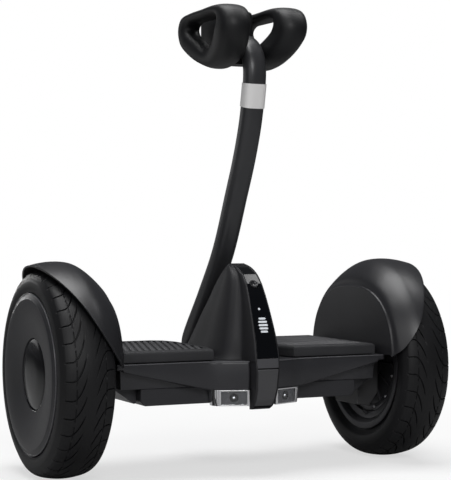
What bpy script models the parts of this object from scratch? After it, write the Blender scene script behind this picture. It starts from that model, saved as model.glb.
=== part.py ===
"""Self-balancing scooter: two hub-motor wheels, a deck, a domed housing and a knee bar with two loop pads.

X runs along the wheel axle, +Y is forward, +Z is up, the wheels stand on z = 0. Metres.
"""
import math

import bmesh
import bpy
from mathutils import Matrix, Vector

GAP = 0.0003

# Wheels
WHEEL_R = 0.131
TYRE_W = 0.071
TRACK_HALF = 0.2362
TREAD_T = 0.0078
FLANGE_R = 0.0935
FLANGE_H = 0.030
BEAD_R = FLANGE_R - 0.0115
BEAD_H = FLANGE_H - 0.0038
COVER_R = FLANGE_R + 0.0075
COVER_BEVEL = 0.0065
COVER_FACE_H = FLANGE_H + 0.0078
CAP_R = 0.0447
RIM_WALL = 0.0120
MOTOR_BORE_R = BEAD_R - RIM_WALL
MOTOR_HALF = 0.018
WEB_H = MOTOR_HALF + 0.0065
LID_H = -0.0130
LID_RIBS = 12
LID_RIB_T = 0.0034
MAGNET_T = 0.0042
AIR_GAP = 0.0010
STATOR_R = MOTOR_BORE_R - GAP - MAGNET_T - AIR_GAP
STATOR_SLOTS = 18
SLOT_DEPTH = 0.0165
AXLE_R = 0.0082
AXLE_END_R = AXLE_R - 0.0022
BEARING_R = AXLE_END_R + 0.0072
INNER_BEARING_R = AXLE_R + 0.0085
STEM_R = 0.0023
WHEEL_STEPS = 32

# Axle brackets
BRACKET_OUT_H = LID_H - 0.0084
BRACKET_LENGTH = 0.0325
BRACKET_HALF_Y = 0.030
BRACKET_OUT_X = TRACK_HALF + BRACKET_OUT_H
BRACKET_IN_X = BRACKET_OUT_X - BRACKET_LENGTH
AXLE_IN_H = BRACKET_OUT_H - BRACKET_LENGTH + 0.0004

# Deck and frame. The deck hangs on the axle.
DECK_RISE = 0.0155
DECK_Z = WHEEL_R + DECK_RISE
FRAME_END_X = BRACKET_IN_X + 0.0072
FRAME_END_Z = DECK_Z - 0.0067
FRAME_ARM_X = BRACKET_IN_X - GAP
FRAME_BOTTOM_Z = DECK_Z - 0.0320
BAT_Y = 0.0750
FRAME_REAR_Y = -(BAT_Y + 0.0010)
FRAME_FRONT_Y = 0.092
FASCIA_Y = FRAME_REAR_Y - 0.0120
BAT_X = FRAME_END_X - 0.0365
CAVITY_X = BAT_X - 0.0050
CAVITY_TOP_Z = DECK_Z - 0.0065
CAVITY_REAR_Y = FRAME_REAR_Y + 0.0160
CAVITY_FRONT_Y = FRAME_FRONT_Y - 0.0240
ARM_HALF_Y = 0.062
MAT_T = 0.0147
MAT_TOP_Z = DECK_Z + GAP + MAT_T
MAT_IN_X = 0.045
MAT_OUT_X = FRAME_END_X - 0.0115
MAT_REAR_Y = FASCIA_Y + 0.0046
MAT_FRONT_Y = FRAME_FRONT_Y + 0.0040
MAT_POCKET_Z = 0.0022

# Fenders
FENDER_CLEARANCE = 0.0102
FENDER_R = WHEEL_R + FENDER_CLEARANCE
FENDER_PANEL_R = WHEEL_R - 0.0240
FENDER_X = FRAME_END_X - 0.0015
FENDER_WALL = 0.0022
FENDER_EDGE_X = FENDER_X - 0.0010
FENDER_EDGE_SLOPE = 0.635
FENDER_EDGE_Z = DECK_Z + 0.0035

# Battery
BAT_H = 0.0214
BAT_Z0 = FRAME_BOTTOM_Z - GAP - BAT_H
BAT_WALL = 0.0020
BAT_CHAMFER = 0.006
CELL_R = 0.0091
CELL_LEN = 0.065
CELL_PITCH = 2 * CELL_R + 0.0004

# Housing and display band
HUMP_H = 0.1215
HUMP_TOP_Z = DECK_Z + HUMP_H
HUMP_TOP_Y = -0.0410
HUMP_HALF = 0.0485
HUMP_WALL_SHARE = 0.80
BAND_DEPTH = 0.0024
COLUMN_HALF = 0.0170
COLUMN_FRONT_Y = FRAME_REAR_Y - 0.0222
DISPLAY_Z0 = DECK_Z + 0.0040
TILE_Z0 = DISPLAY_Z0 - 0.0120
PORT_Z1 = TILE_Z0 - 0.0017
PORT_Z0 = PORT_Z1 - 0.0473
PORT_AXIS_Z = DECK_Z - 0.0325
PORT_MOUTH_Y = FRAME_REAR_Y - 0.0385
PORT_DEPTH = 0.0135
PORT_R = 0.0092
BUTTON_Z = HUMP_TOP_Z - 0.0255
BUTTON_R = 0.0056

# Steering and knee bar
STEER_Z = DECK_Z - 0.0195
SHAFT_R = 0.0070
SHAFT_PLATE_R = 0.0150
SHAFT_PLATE_T = 0.0030
STEER_BEARING_R = SHAFT_R + 0.0035
BLOCK_REAR_Y = -0.0350
BLOCK_FRONT_Y = -0.0150
BLOCK_HALF_X = 0.0200
SHAFT_REAR_Y = BLOCK_REAR_Y - 0.0050
SPRING_WIRE_R = 0.0013
SPRING_R = SHAFT_R + SPRING_WIRE_R + 0.0015
SPRING_TURNS = 6
SPRING_Y0 = BLOCK_FRONT_Y + SPRING_WIRE_R + GAP
SPRING_Y1 = CAVITY_FRONT_Y - SPRING_WIRE_R - GAP
BAR_W = 0.0280
BAR_T = 0.0235
BAR_WALL = 0.0025
SHAFT_PLATE_Y = FRAME_FRONT_Y + 0.0010
SOCKET_Y0 = SHAFT_PLATE_Y + SHAFT_PLATE_T + GAP
BAR_FOOT_Y = SOCKET_Y0 + BAR_T / 2 + 0.00445
SOCKET_WALL = 0.0022
SOCKET_Y1 = BAR_FOOT_Y + BAR_T / 2 + GAP + SOCKET_WALL
SOCKET_X = BAR_W / 2 + 0.0070
SOCKET_Z0 = STEER_Z - 0.0190
SOCKET_Z1 = STEER_Z + 0.0230
LEVER_T = 0.0030
LEVER_HALF_X = 0.0110
LEVER_Z0 = STEER_Z - 0.0090
LEVER_Z1 = STEER_Z + 0.0170
LABEL_Z0 = DECK_Z + 0.3135
LABEL_H = 0.042
LABEL_T = 0.0010


def clear():
    for ob in list(bpy.data.objects):
        bpy.data.objects.remove(ob, do_unlink=True)
    for me in list(bpy.data.meshes):
        bpy.data.meshes.remove(me)


def collection(name):
    coll = bpy.data.collections.new(name)
    bpy.context.scene.collection.children.link(coll)
    return coll


clear()
PARTS = collection("self_balancing_scooter")
CUTTERS = collection("cutters")


def material(name, colour, rough, metal=0.0):
    mat = bpy.data.materials.new(name)
    mat.use_nodes = True
    bsdf = mat.node_tree.nodes["Principled BSDF"]
    bsdf.inputs["Base Color"].default_value = (colour[0], colour[1], colour[2], 1.0)
    bsdf.inputs["Roughness"].default_value = rough
    bsdf.inputs["Metallic"].default_value = metal
    return mat


RUBBER = (0.022, 0.022, 0.024)
PAINT = (0.050, 0.050, 0.055)
PLASTIC = (0.060, 0.060, 0.066)
GLOSS = (0.010, 0.010, 0.012)
SILVER = (0.70, 0.70, 0.72)
STEEL = (0.45, 0.45, 0.47)
FOAM = (0.020, 0.021, 0.023)


def emit(name, bm, colour, rough, metal=0.0, smooth=False, origin=(0, 0, 0)):
    """Turn a bmesh given in world coordinates into a named part whose origin is at the given point."""
    shift = Vector(origin)
    bmesh.ops.translate(bm, verts=bm.verts, vec=-shift)
    bmesh.ops.recalc_face_normals(bm, faces=bm.faces)
    mesh = bpy.data.meshes.new(name)
    bm.to_mesh(mesh)
    bm.free()
    ob = bpy.data.objects.new(name, mesh)
    ob.location = shift
    PARTS.objects.link(ob)
    mesh.materials.append(material(name + "_mat", colour, rough, metal))
    for poly in mesh.polygons:
        poly.use_smooth = smooth
    return ob


def cutter(bm, name="cutter"):
    bmesh.ops.recalc_face_normals(bm, faces=bm.faces)
    mesh = bpy.data.meshes.new(name)
    bm.to_mesh(mesh)
    bm.free()
    ob = bpy.data.objects.new(name, mesh)
    CUTTERS.objects.link(ob)
    ob.hide_render = True
    ob.display_type = "WIRE"
    return ob


def boolean(ob, bm, operation="DIFFERENCE"):
    tool = cutter(bm)
    mod = ob.modifiers.new(operation.lower(), "BOOLEAN")
    mod.operation = operation
    mod.solver = "EXACT"
    mod.object = tool
    return mod


def round_edges(ob, width, segments=2, angle=35):
    mod = ob.modifiers.new("edges", "BEVEL")
    mod.width = width
    mod.segments = segments
    mod.limit_method = "ANGLE"
    mod.angle_limit = math.radians(angle)
    mod.harden_normals = False
    return mod


def box(x0, x1, y0, y1, z0, z1):
    bm = bmesh.new()
    bmesh.ops.create_cube(bm, size=1.0)
    bmesh.ops.scale(bm, verts=bm.verts, vec=(x1 - x0, y1 - y0, z1 - z0))
    bmesh.ops.translate(bm, verts=bm.verts, vec=((x0 + x1) / 2, (y0 + y1) / 2, (z0 + z1) / 2))
    return bm


def rod(start, end, radius, steps=20, radius_end=None):
    bm = bmesh.new()
    a = Vector(start)
    b = Vector(end)
    length = (b - a).length
    tip = radius if radius_end is None else radius_end
    bmesh.ops.create_cone(bm, cap_ends=True, segments=steps, radius1=radius, radius2=tip, depth=length)
    turn = (b - a).to_track_quat("Z", "Y").to_matrix().to_4x4()
    bmesh.ops.transform(bm, verts=bm.verts, matrix=Matrix.Translation((a + b) / 2) @ turn)
    return bm


def prism(outline, axis, low, high):
    """Extrude a flat outline, given in the two other axes in the order X, Y, Z, from low to high."""
    bm = bmesh.new()
    corners = []
    for point in outline:
        place = list(point)
        place.insert(axis, low)
        corners.append(bm.verts.new(place))
    face = bm.faces.new(corners)
    grown = bmesh.ops.extrude_face_region(bm, geom=[face])
    push = [0.0, 0.0, 0.0]
    push[axis] = high - low
    moved = [v for v in grown["geom"] if isinstance(v, bmesh.types.BMVert)]
    bmesh.ops.translate(bm, verts=moved, vec=push)
    return bm


def ring_of(bm, count, centre):
    """Repeat a piece evenly round the X axis through a point."""
    first = bm.verts[:] + bm.edges[:] + bm.faces[:]
    for k in range(1, count):
        copy = bmesh.ops.duplicate(bm, geom=first)["geom"]
        verts = [v for v in copy if isinstance(v, bmesh.types.BMVert)]
        bmesh.ops.rotate(bm, cent=centre, matrix=Matrix.Rotation(math.tau * k / count, 3, "X"), verts=verts)
    return bm


def loft(rings, cap=True, closed=False):
    """Join rings of equal point count. closed joins the last ring to the first."""
    bm = bmesh.new()
    layers = [[bm.verts.new(p) for p in ring] for ring in rings]
    count = len(layers[0])
    pairs = list(zip(layers, layers[1:]))
    if closed:
        pairs.append((layers[-1], layers[0]))
    for low, high in pairs:
        for i in range(count):
            j = (i + 1) % count
            bm.faces.new([low[i], low[j], high[j], high[i]])
    if cap and not closed:
        bm.faces.new(list(reversed(layers[0])))
        bm.faces.new(layers[-1])
    return bm


def turned(name, profile, centre, direction, steps, ring, colour, rough, metal=0.0, smooth=True):
    """A turned part: (radius, height) points about an axis. ring means that the profile closes on itself."""
    points = list(profile)
    area = sum(a[0] * b[1] - b[0] * a[1] for a, b in zip(points, points[1:] + points[:1]))
    if area > 0:
        points.reverse()
    bm = bmesh.new()
    verts = [bm.verts.new((r, 0, h)) for r, h in points]
    for a, b in zip(verts, verts[1:]):
        bm.edges.new((a, b))
    if ring:
        bm.edges.new((verts[-1], verts[0]))
    mesh = bpy.data.meshes.new(name)
    bm.to_mesh(mesh)
    bm.free()
    ob = bpy.data.objects.new(name, mesh)
    ob.location = centre
    ob.rotation_euler = Vector(direction).to_track_quat("Z", "Y").to_euler()
    PARTS.objects.link(ob)
    mesh.materials.append(material(name + "_mat", colour, rough, metal))
    mod = ob.modifiers.new("turn", "SCREW")
    mod.axis = "Z"
    mod.steps = steps
    mod.render_steps = steps
    mod.use_merge_vertices = True
    mod.merge_threshold = 0.00001
    mod.use_smooth_shade = smooth
    return ob


def between(table, value):
    """Straight-line reading from a short table of (position, result) pairs sorted by position."""
    if value <= table[0][0]:
        return table[0][1]
    for (a, fa), (b, fb) in zip(table, table[1:]):
        if value <= b:
            return fa + (fb - fa) * (value - a) / (b - a)
    return table[-1][1]


def even(line, count):
    """Points spaced evenly along a flat line."""
    lengths = [0.0]
    for a, b in zip(line, line[1:]):
        lengths.append(lengths[-1] + math.dist(a, b))
    first = list(zip(lengths, [p[0] for p in line]))
    second = list(zip(lengths, [p[1] for p in line]))
    stops = [lengths[-1] * k / (count - 1) for k in range(count)]
    return [(between(first, stop), between(second, stop)) for stop in stops]


def smooth_path(points, per_span, closed=False):
    """Catmull-Rom curve through a few points of any dimension."""
    count = len(points)
    spans = count if closed else count - 1
    out = []
    for i in range(spans):
        quad = []
        for k in (-1, 0, 1, 2):
            index = i + k
            index = index % count if closed else min(max(index, 0), count - 1)
            quad.append(points[index])
        for s in range(per_span):
            t = s / per_span
            point = []
            for a, b, c, d in zip(*quad):
                point.append(0.5 * (2 * b + (c - a) * t + (2 * a - 5 * b + 4 * c - d) * t * t
                                    + (3 * b - a - 3 * c + d) * t ** 3))
            out.append(tuple(point))
    if not closed:
        out.append(tuple(points[-1]))
    return out


def oval(count, power):
    """Unit rounded-square outline; power 2 is a circle and a higher power is squarer."""
    points = []
    for k in range(count):
        angle = math.tau * (k + 0.5) / count
        c = math.cos(angle)
        s = math.sin(angle)
        scale = (abs(c) ** power + abs(s) ** power) ** (-1 / power)
        points.append((c * scale, s * scale))
    return points


SIDES = (("left", -1), ("right", 1))


# Wheels
def wheel(side, sign):
    centre = (sign * TRACK_HALF, 0, WHEEL_R)
    out = (sign, 0, 0)

    def add(name, profile, colour, rough, metal=0.0, ring=True, steps=WHEEL_STEPS, smooth=True):
        return turned(side + "_" + name, profile, centre, out, steps, ring, colour, rough, metal, smooth)

    half = TYRE_W / 2
    bead = BEAD_R + GAP
    section = WHEEL_R - FLANGE_R
    tread = [(WHEEL_R, 0.17 * half), (WHEEL_R - 0.043 * section, 0.59 * half),
             (WHEEL_R - 0.13 * section, 0.83 * half), (WHEEL_R - 0.32 * section, 0.95 * half),
             (WHEEL_R - 0.56 * section, half), (FLANGE_R + 0.25 * section, half - 0.0025),
             (FLANGE_R + 2 * GAP, BEAD_H + 2 * GAP), (bead, BEAD_H)]
    bore = [(bead, BEAD_H - 0.0097), (FLANGE_R + 0.0050, BEAD_H + 0.0013),
            (WHEEL_R - TREAD_T, half - 0.0225)]
    outside = tread[::-1] + [(r, -h) for r, h in tread]
    inside = [(r, -h) for r, h in bore] + bore[::-1]
    add("tyre", outside + inside, RUBBER, 0.75)

    shell = [(FLANGE_R, FLANGE_H), (FLANGE_R, FLANGE_H - 0.0030), (BEAD_R, BEAD_H + GAP),
             (BEAD_R, -BEAD_H - GAP), (FLANGE_R, 0.0030 - FLANGE_H), (FLANGE_R, -FLANGE_H),
             (BEAD_R + 0.0025, -FLANGE_H), (BEAD_R - 0.0020, 0.0060 - FLANGE_H),
             (MOTOR_BORE_R, 0.0080 - FLANGE_H), (MOTOR_BORE_R, MOTOR_HALF),
             (BEARING_R + GAP, MOTOR_HALF), (BEARING_R + GAP, WEB_H),
             (BEAD_R - 0.0030, WEB_H), (BEAD_R + 0.0030, FLANGE_H)]
    hub = add("hub_motor_shell", shell, STEEL, 0.45, 0.9)
    stem_in = Vector((sign * (TRACK_HALF - 0.0108), 0, WHEEL_R - BEAD_R - 0.0025))
    stem_out = Vector((sign * (TRACK_HALF - 0.0268), 0, WHEEL_R - MOTOR_BORE_R + 0.0020))
    along = (stem_out - stem_in).normalized()
    boolean(hub, rod(stem_in, stem_out, STEM_R + GAP, 12))
    stem = rod(stem_in + along * 0.0020, stem_out, STEM_R, 12)
    emit(side + "_valve_stem", stem, RUBBER, 0.6, 0.0, True, centre)

    back_h = WEB_H + GAP
    dish_in = CAP_R + 2 * GAP
    dish_out = COVER_R - COVER_BEVEL
    dish = [(dish_in + share * (dish_out - dish_in), COVER_FACE_H - drop)
            for share, drop in ((0.0, 0.0082), (0.25, 0.0056), (0.66, 0.0014), (1.0, 0.0))]
    cover = [(COVER_R, COVER_FACE_H - 0.0016), (COVER_R, FLANGE_H + 0.0025), (FLANGE_R, FLANGE_H + GAP),
             (BEAD_R + 0.0008, FLANGE_H + GAP),
             (BEAD_R - 0.0048, back_h), (dish_in, back_h)] + dish
    add("wheel_cover", cover, PLASTIC, 0.45)
    cap = [(0, COVER_FACE_H - 0.0040), (0.49 * CAP_R, COVER_FACE_H - 0.0047),
           (0.87 * CAP_R, COVER_FACE_H - 0.0072), (CAP_R, COVER_FACE_H - 0.0094), (CAP_R, back_h), (0, back_h)]
    add("centre_cap", cap, PLASTIC, 0.35, 0.0, False, 32)

    add("outer_bearing", [(BEARING_R, WEB_H - GAP), (BEARING_R, MOTOR_HALF), (AXLE_END_R + GAP, MOTOR_HALF),
                          (AXLE_END_R + GAP, WEB_H - GAP)], STEEL, 0.3, 1.0, True, 16)
    lid_r = MOTOR_BORE_R - GAP
    boss_r = INNER_BEARING_R + 0.0050
    lid = [(INNER_BEARING_R + GAP, LID_H + 0.0005), (lid_r, LID_H), (lid_r, LID_H - 0.0050),
           (lid_r - 0.0057, LID_H - 0.0050), (lid_r - 0.0087, LID_H - 0.0035), (boss_r, LID_H - 0.0035),
           (boss_r, LID_H - 0.0076), (INNER_BEARING_R + GAP, LID_H - 0.0076)]
    side_cover = add("motor_side_cover", lid, PAINT, 0.5, 0.4)
    rib_h = sorted(sign * (TRACK_HALF + LID_H - rise) for rise in (0.0030, 0.0054))
    rib = box(rib_h[0], rib_h[1], -LID_RIB_T / 2, LID_RIB_T / 2,
              WHEEL_R + boss_r + 0.0090, WHEEL_R + lid_r - 0.0095)
    boolean(side_cover, ring_of(rib, LID_RIBS, centre), "UNION")
    add("inner_bearing", [(INNER_BEARING_R, LID_H + 0.0005), (INNER_BEARING_R, LID_H - 0.0070),
                          (AXLE_R + GAP, LID_H - 0.0070), (AXLE_R + GAP, LID_H + 0.0005)],
        STEEL, 0.3, 1.0, True, 16)
    magnet_in = lid_r - MAGNET_T
    add("magnet_ring", [(lid_r, MOTOR_HALF - 0.0030), (lid_r, LID_H + 0.0015), (magnet_in, LID_H + 0.0015),
                        (magnet_in, MOTOR_HALF - 0.0030)], STEEL, 0.4, 0.8)

    # the wound core: a toothed ring on a spoked hub, held on the axle
    teeth = []
    slot_r = STATOR_R - SLOT_DEPTH
    for k in range(STATOR_SLOTS):
        step = math.tau / STATOR_SLOTS
        for r, part in ((STATOR_R, 0.06), (STATOR_R, 0.74), (slot_r, 0.62), (slot_r, 1.18)):
            angle = step * (k + part)
            teeth.append((r * math.sin(angle), WHEEL_R + r * math.cos(angle)))
    low = sign * (TRACK_HALF + LID_H + 0.0025)
    high = sign * (TRACK_HALF + MOTOR_HALF - 0.0035)
    core = emit(side + "_motor_stator", prism(teeth, 0, min(low, high), max(low, high)),
                (0.35, 0.17, 0.08), 0.45, 0.6, False, centre)
    boolean(core, rod((low - sign * 0.01, 0, WHEEL_R), (high + sign * 0.01, 0, WHEEL_R), AXLE_R + GAP, 16))
    hole_in = AXLE_R + 0.0108
    hole_out = slot_r - 0.0070
    hole_at = (hole_in + hole_out) / 2
    for k in range(4):
        angle = math.tau * (k + 0.5) / 4
        y = hole_at * math.cos(angle)
        z = WHEEL_R + hole_at * math.sin(angle)
        boolean(core, rod((low - sign * 0.01, y, z), (high + sign * 0.01, y, z), (hole_out - hole_in) / 2, 8))

    step_h = MOTOR_HALF - 0.0028
    shoulder_h = BRACKET_OUT_H + 2 * GAP
    axle = [(0, WEB_H - 0.0005), (AXLE_END_R, WEB_H - 0.0005), (AXLE_END_R, step_h), (AXLE_R, step_h),
            (AXLE_R, shoulder_h), (AXLE_END_R, shoulder_h), (AXLE_END_R, AXLE_IN_H), (0, AXLE_IN_H)]
    add("axle", axle, STEEL, 0.35, 1.0, False, 16)


def axle_bracket(side, sign):
    seat_z = FRAME_END_Z - 2 * GAP
    top_z = DECK_Z - GAP
    tab_x = FRAME_END_X + 0.0005
    low_z = WHEEL_R - 0.0565
    outline = [(BRACKET_IN_X, seat_z), (BRACKET_IN_X, low_z), (BRACKET_OUT_X - 0.0138, low_z - 0.0025),
               (BRACKET_OUT_X, low_z + 0.0155), (BRACKET_OUT_X, top_z), (tab_x, top_z), (tab_x, seat_z)]
    points = [(sign * x, z) for x, z in outline]
    ob = emit(side + "_axle_bracket", prism(points, 1, -BRACKET_HALF_Y, BRACKET_HALF_Y), STEEL, 0.5, 0.6)
    boolean(ob, rod((sign * (BRACKET_IN_X - 0.02), 0, WHEEL_R), (sign * (BRACKET_OUT_X + 0.02), 0, WHEEL_R),
                    AXLE_END_R + GAP, 16))
    round_edges(ob, 0.0008, 1)


# Fenders
def fender(side, sign):
    ring_r = FENDER_PANEL_R
    ring_x = FENDER_X
    run = smooth_path([(ring_r, ring_x), (ring_r + 0.0050, ring_x - 0.0012), (ring_r + 0.0110, ring_x - 0.0015),
                       (ring_r + 0.0190, ring_x + 0.0005), (ring_r + 0.0245, ring_x + 0.0065),
                       (ring_r + 0.0282, ring_x + 0.0160), (FENDER_R - 0.0025, ring_x + 0.0290),
                       (FENDER_R - 0.0004, ring_x + 0.0400), (FENDER_R - 0.0008, ring_x + 0.0540),
                       (FENDER_R - 0.0042, ring_x + 0.0760)], 3)
    first = math.asin((FENDER_EDGE_Z - WHEEL_R) / FENDER_PANEL_R) + 0.02
    stations = 19
    columns = 8
    bm = bmesh.new()
    grid = []
    for s in range(stations):
        angle = first + (math.pi - 2 * first) * s / (stations - 1)
        row = []
        for r, x in even(cut_run(run, angle), columns):
            row.append(bm.verts.new((sign * x, r * math.cos(angle), WHEEL_R + r * math.sin(angle))))
        foot = row[0].co.copy()
        foot.z = DECK_Z + GAP
        row.insert(0, bm.verts.new(foot))
        grid.append(row)
    for a, b in zip(grid, grid[1:]):
        for i in range(len(a) - 1):
            bm.faces.new([a[i], a[i + 1], b[i + 1], b[i]])
    ob = emit(side + "_fender", bm, PLASTIC, 0.42, 0.0, True)
    mesh = ob.data
    inward = Vector((sign * FENDER_X, 0, WHEEL_R + FENDER_PANEL_R * 0.6))
    face = min(mesh.polygons, key=lambda p: (p.center - inward).length)
    if face.normal.x * sign > 0:
        mesh.flip_normals()
    solid = ob.modifiers.new("wall", "SOLIDIFY")
    solid.thickness = FENDER_WALL
    solid.offset = -1.0
    solid.use_even_offset = False


def cut_run(run, angle):
    """The part of the fender's section line that lies inside its slanting outer edge at this angle."""
    def over(r, x):
        z = WHEEL_R + r * math.sin(angle)
        return x - FENDER_EDGE_X - FENDER_EDGE_SLOPE * (z - FENDER_EDGE_Z)

    kept = [run[0]]
    for (ra, xa), (rb, xb) in zip(run, run[1:]):
        a = over(ra, xa)
        b = over(rb, xb)
        if a <= 0 < b:
            t = a / (a - b)
            kept.append((ra + (rb - ra) * t, xa + (xb - xa) * t))
            break
        kept.append((rb, xb))
    return kept


# Tail lamps
LAMP_IN_X = COLUMN_HALF + 0.0009
LAMP_OUT_X = LAMP_IN_X + 0.0441
LAMP_Z1 = DECK_Z - 0.0361
LAMP_H = 0.0199
LAMP_Z0 = LAMP_Z1 - LAMP_H
LAMP_Y = FRAME_REAR_Y - 0.0325
LAMP_BEND_X = LAMP_OUT_X - 0.0055
LAMP_BEND_Y = FRAME_REAR_Y - 0.0185
LAMP_BACK_Y = FRAME_REAR_Y - 0.0005
WINDOW_HALF_X = (LAMP_OUT_X - LAMP_IN_X) / 2 - 0.0055
WINDOW_HALF_Z = LAMP_H / 2 - 0.0016

# Frame: x, rear face y and lower edge z of the fascia
FASCIA = [(0.0, FASCIA_Y - 0.0170, DECK_Z - 0.0355),
          (COLUMN_HALF + 0.0010, FASCIA_Y - 0.0170, DECK_Z - 0.0357),
          (LAMP_OUT_X - 0.0220, FASCIA_Y - 0.0105, DECK_Z - 0.0357),
          (LAMP_OUT_X, FASCIA_Y - 0.0030, DECK_Z - 0.0355),
          (LAMP_OUT_X + 0.0280, FASCIA_Y - 0.0005, DECK_Z - 0.0300),
          (FRAME_END_X - 0.0595, FASCIA_Y, DECK_Z - 0.0210),
          (FRAME_END_X - 0.0265, FASCIA_Y, DECK_Z - 0.0135), (FRAME_END_X - 0.0100, FASCIA_Y, DECK_Z - 0.0095),
          (FRAME_END_X - 0.0080, FASCIA_Y, DECK_Z - 0.0070), (FRAME_END_X, FASCIA_Y, FRAME_END_Z)]


def frame():
    rings = []
    stations = [(-x, y, z) for x, y, z in reversed(FASCIA[1:])] + FASCIA
    for x, rear, low in stations:
        lip = min(rear + 0.009, FRAME_REAR_Y - 0.001)
        rise = low if abs(x) > FRAME_ARM_X - 0.002 else FRAME_BOTTOM_Z
        ring = [(rear + 0.0030, DECK_Z), (rear, DECK_Z - 0.0022), (rear, low + 0.002), (rear + 0.0015, low),
                (lip, low), (FRAME_REAR_Y, rise), (FRAME_FRONT_Y - 0.004, rise),
                (FRAME_FRONT_Y, rise + 0.004), (FRAME_FRONT_Y, DECK_Z - 0.004),
                (FRAME_FRONT_Y - 0.004, DECK_Z)]
        rings.append([(x, y, z) for y, z in ring])
    ob = emit("deck_frame_casting", loft(rings), PAINT, 0.42, 0.3)
    arm_in = BAT_X + GAP
    top_z = DECK_Z - 0.0025
    for side, sign in SIDES:
        arm = [(arm_in, top_z), (arm_in, DECK_Z - 0.0495), (arm_in + 0.0027, DECK_Z - 0.0515),
               (FRAME_ARM_X, DECK_Z - 0.0335), (FRAME_ARM_X, top_z)]
        boolean(ob, prism([(sign * x, z) for x, z in arm], 1, -ARM_HALF_Y, ARM_HALF_Y), "UNION")
    notch_x = COLUMN_HALF + GAP
    boolean(ob, box(-notch_x, notch_x, FASCIA_Y - 0.05, COLUMN_FRONT_Y + GAP,
                    FRAME_BOTTOM_Z - 0.03, DECK_Z + 0.03))
    boolean(ob, box(-CAVITY_X, CAVITY_X, CAVITY_REAR_Y, CAVITY_FRONT_Y, FRAME_BOTTOM_Z - 0.01, CAVITY_TOP_Z))
    boolean(ob, rod((0, CAVITY_FRONT_Y - 0.02, STEER_Z), (0, FRAME_FRONT_Y + 0.02, STEER_Z),
                    STEER_BEARING_R + GAP, 24))
    slot_x = BLOCK_HALF_X + 0.0100
    boolean(ob, box(-slot_x, slot_x, BLOCK_FRONT_Y + 0.0020, CAVITY_FRONT_Y - 0.0020,
                    CAVITY_TOP_Z - 0.002, DECK_Z + 0.002))


def foot_mat(side, sign):
    outline = [(MAT_OUT_X, MAT_REAR_Y), (MAT_OUT_X, MAT_FRONT_Y), (MAT_IN_X + 0.026, MAT_FRONT_Y),
               (MAT_IN_X + 0.008, MAT_FRONT_Y - 0.012), (MAT_IN_X, MAT_FRONT_Y - 0.040),
               (MAT_IN_X + 0.0025, MAT_REAR_Y + 0.0334), (MAT_IN_X + 0.0120, MAT_REAR_Y)]
    points = [(sign * x, y) for x, y in outline]
    ob = emit(side + "_foot_mat", prism(points, 2, DECK_Z + GAP, MAT_TOP_Z), RUBBER, 0.7)
    round_edges(ob, 0.0030, 3, 50)
    low = MAT_IN_X + 0.020
    high = MAT_OUT_X - 0.012
    reach_y = 0.062
    board_z = DECK_Z + GAP + MAT_POCKET_Z
    boolean(ob, box(min(sign * low, sign * high), max(sign * low, sign * high), -reach_y, reach_y,
                    DECK_Z - 0.01, board_z + GAP))
    board = box(min(sign * (low + GAP), sign * (high - GAP)), max(sign * (low + GAP), sign * (high - GAP)),
                -reach_y + GAP, reach_y - GAP, DECK_Z + GAP, board_z)
    emit(side + "_foot_sensor_board", board, (0.02, 0.10, 0.05), 0.5)


# Battery
def battery():
    top = BAT_Z0 + BAT_H
    inner_x = BAT_X - BAT_CHAMFER
    floor_z = BAT_Z0 + BAT_WALL
    outline = [(-BAT_X, BAT_Z0 + BAT_CHAMFER), (-inner_x, BAT_Z0), (inner_x, BAT_Z0),
               (BAT_X, BAT_Z0 + BAT_CHAMFER), (BAT_X - 0.0004, top), (-BAT_X + 0.0004, top)]
    ob = emit("battery_case", prism(outline, 1, -BAT_Y, BAT_Y), PAINT, 0.55)
    boolean(ob, box(-inner_x, inner_x, -BAT_Y + BAT_WALL, BAT_Y - BAT_WALL, floor_z, top + 0.01))
    round_edges(ob, 0.0015, 1)
    centre_z = floor_z + GAP + CELL_R
    cells = int(2 * inner_x / CELL_PITCH)
    upper = []
    lower = []
    for k in range(cells):
        x0 = (k - (cells - 1) / 2) * CELL_PITCH
        for step in range(1, 4):
            angle = math.pi * step / 4
            upper.append((x0 - CELL_R * math.cos(angle), centre_z + CELL_R * math.sin(angle)))
            lower.append((x0 - CELL_R * math.cos(angle), centre_z - CELL_R * math.sin(angle)))
    pack = prism(upper + list(reversed(lower)), 1, -CELL_LEN / 2, CELL_LEN / 2)
    emit("battery_cell_pack", pack, (0.05, 0.16, 0.30), 0.5)
    board_x = inner_x - 0.0470
    board = box(-board_x, board_x, CELL_LEN / 2 + 0.003, BAT_Y - BAT_WALL - 0.002,
                floor_z + GAP, floor_z + GAP + 0.008)
    emit("battery_management_board", board, (0.02, 0.10, 0.05), 0.5)


# Housing: height and place of the lines that shape the hump and its column
REAR = [(DECK_Z - 0.0615, FRAME_REAR_Y - 0.0250), (DECK_Z - 0.0580, FRAME_REAR_Y - 0.0315),
        (DECK_Z - 0.0485, FRAME_REAR_Y - 0.0390), (DECK_Z - 0.0345, FRAME_REAR_Y - 0.0445),
        (DECK_Z - 0.0115, FRAME_REAR_Y - 0.0475), (DECK_Z + 0.0065, FRAME_REAR_Y - 0.0445),
        (DECK_Z + 0.0265, FRAME_REAR_Y - 0.0395), (DECK_Z + 0.0455, FRAME_REAR_Y - 0.0320),
        (DECK_Z + 0.0615, FRAME_REAR_Y - 0.0250), (HUMP_TOP_Z - 0.0400, HUMP_TOP_Y - 0.0500),
        (HUMP_TOP_Z - 0.0250, HUMP_TOP_Y - 0.0410), (HUMP_TOP_Z - 0.0135, HUMP_TOP_Y - 0.0290),
        (HUMP_TOP_Z - 0.0050, HUMP_TOP_Y - 0.0110), (HUMP_TOP_Z - 0.0008, HUMP_TOP_Y + 0.0080)]
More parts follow.
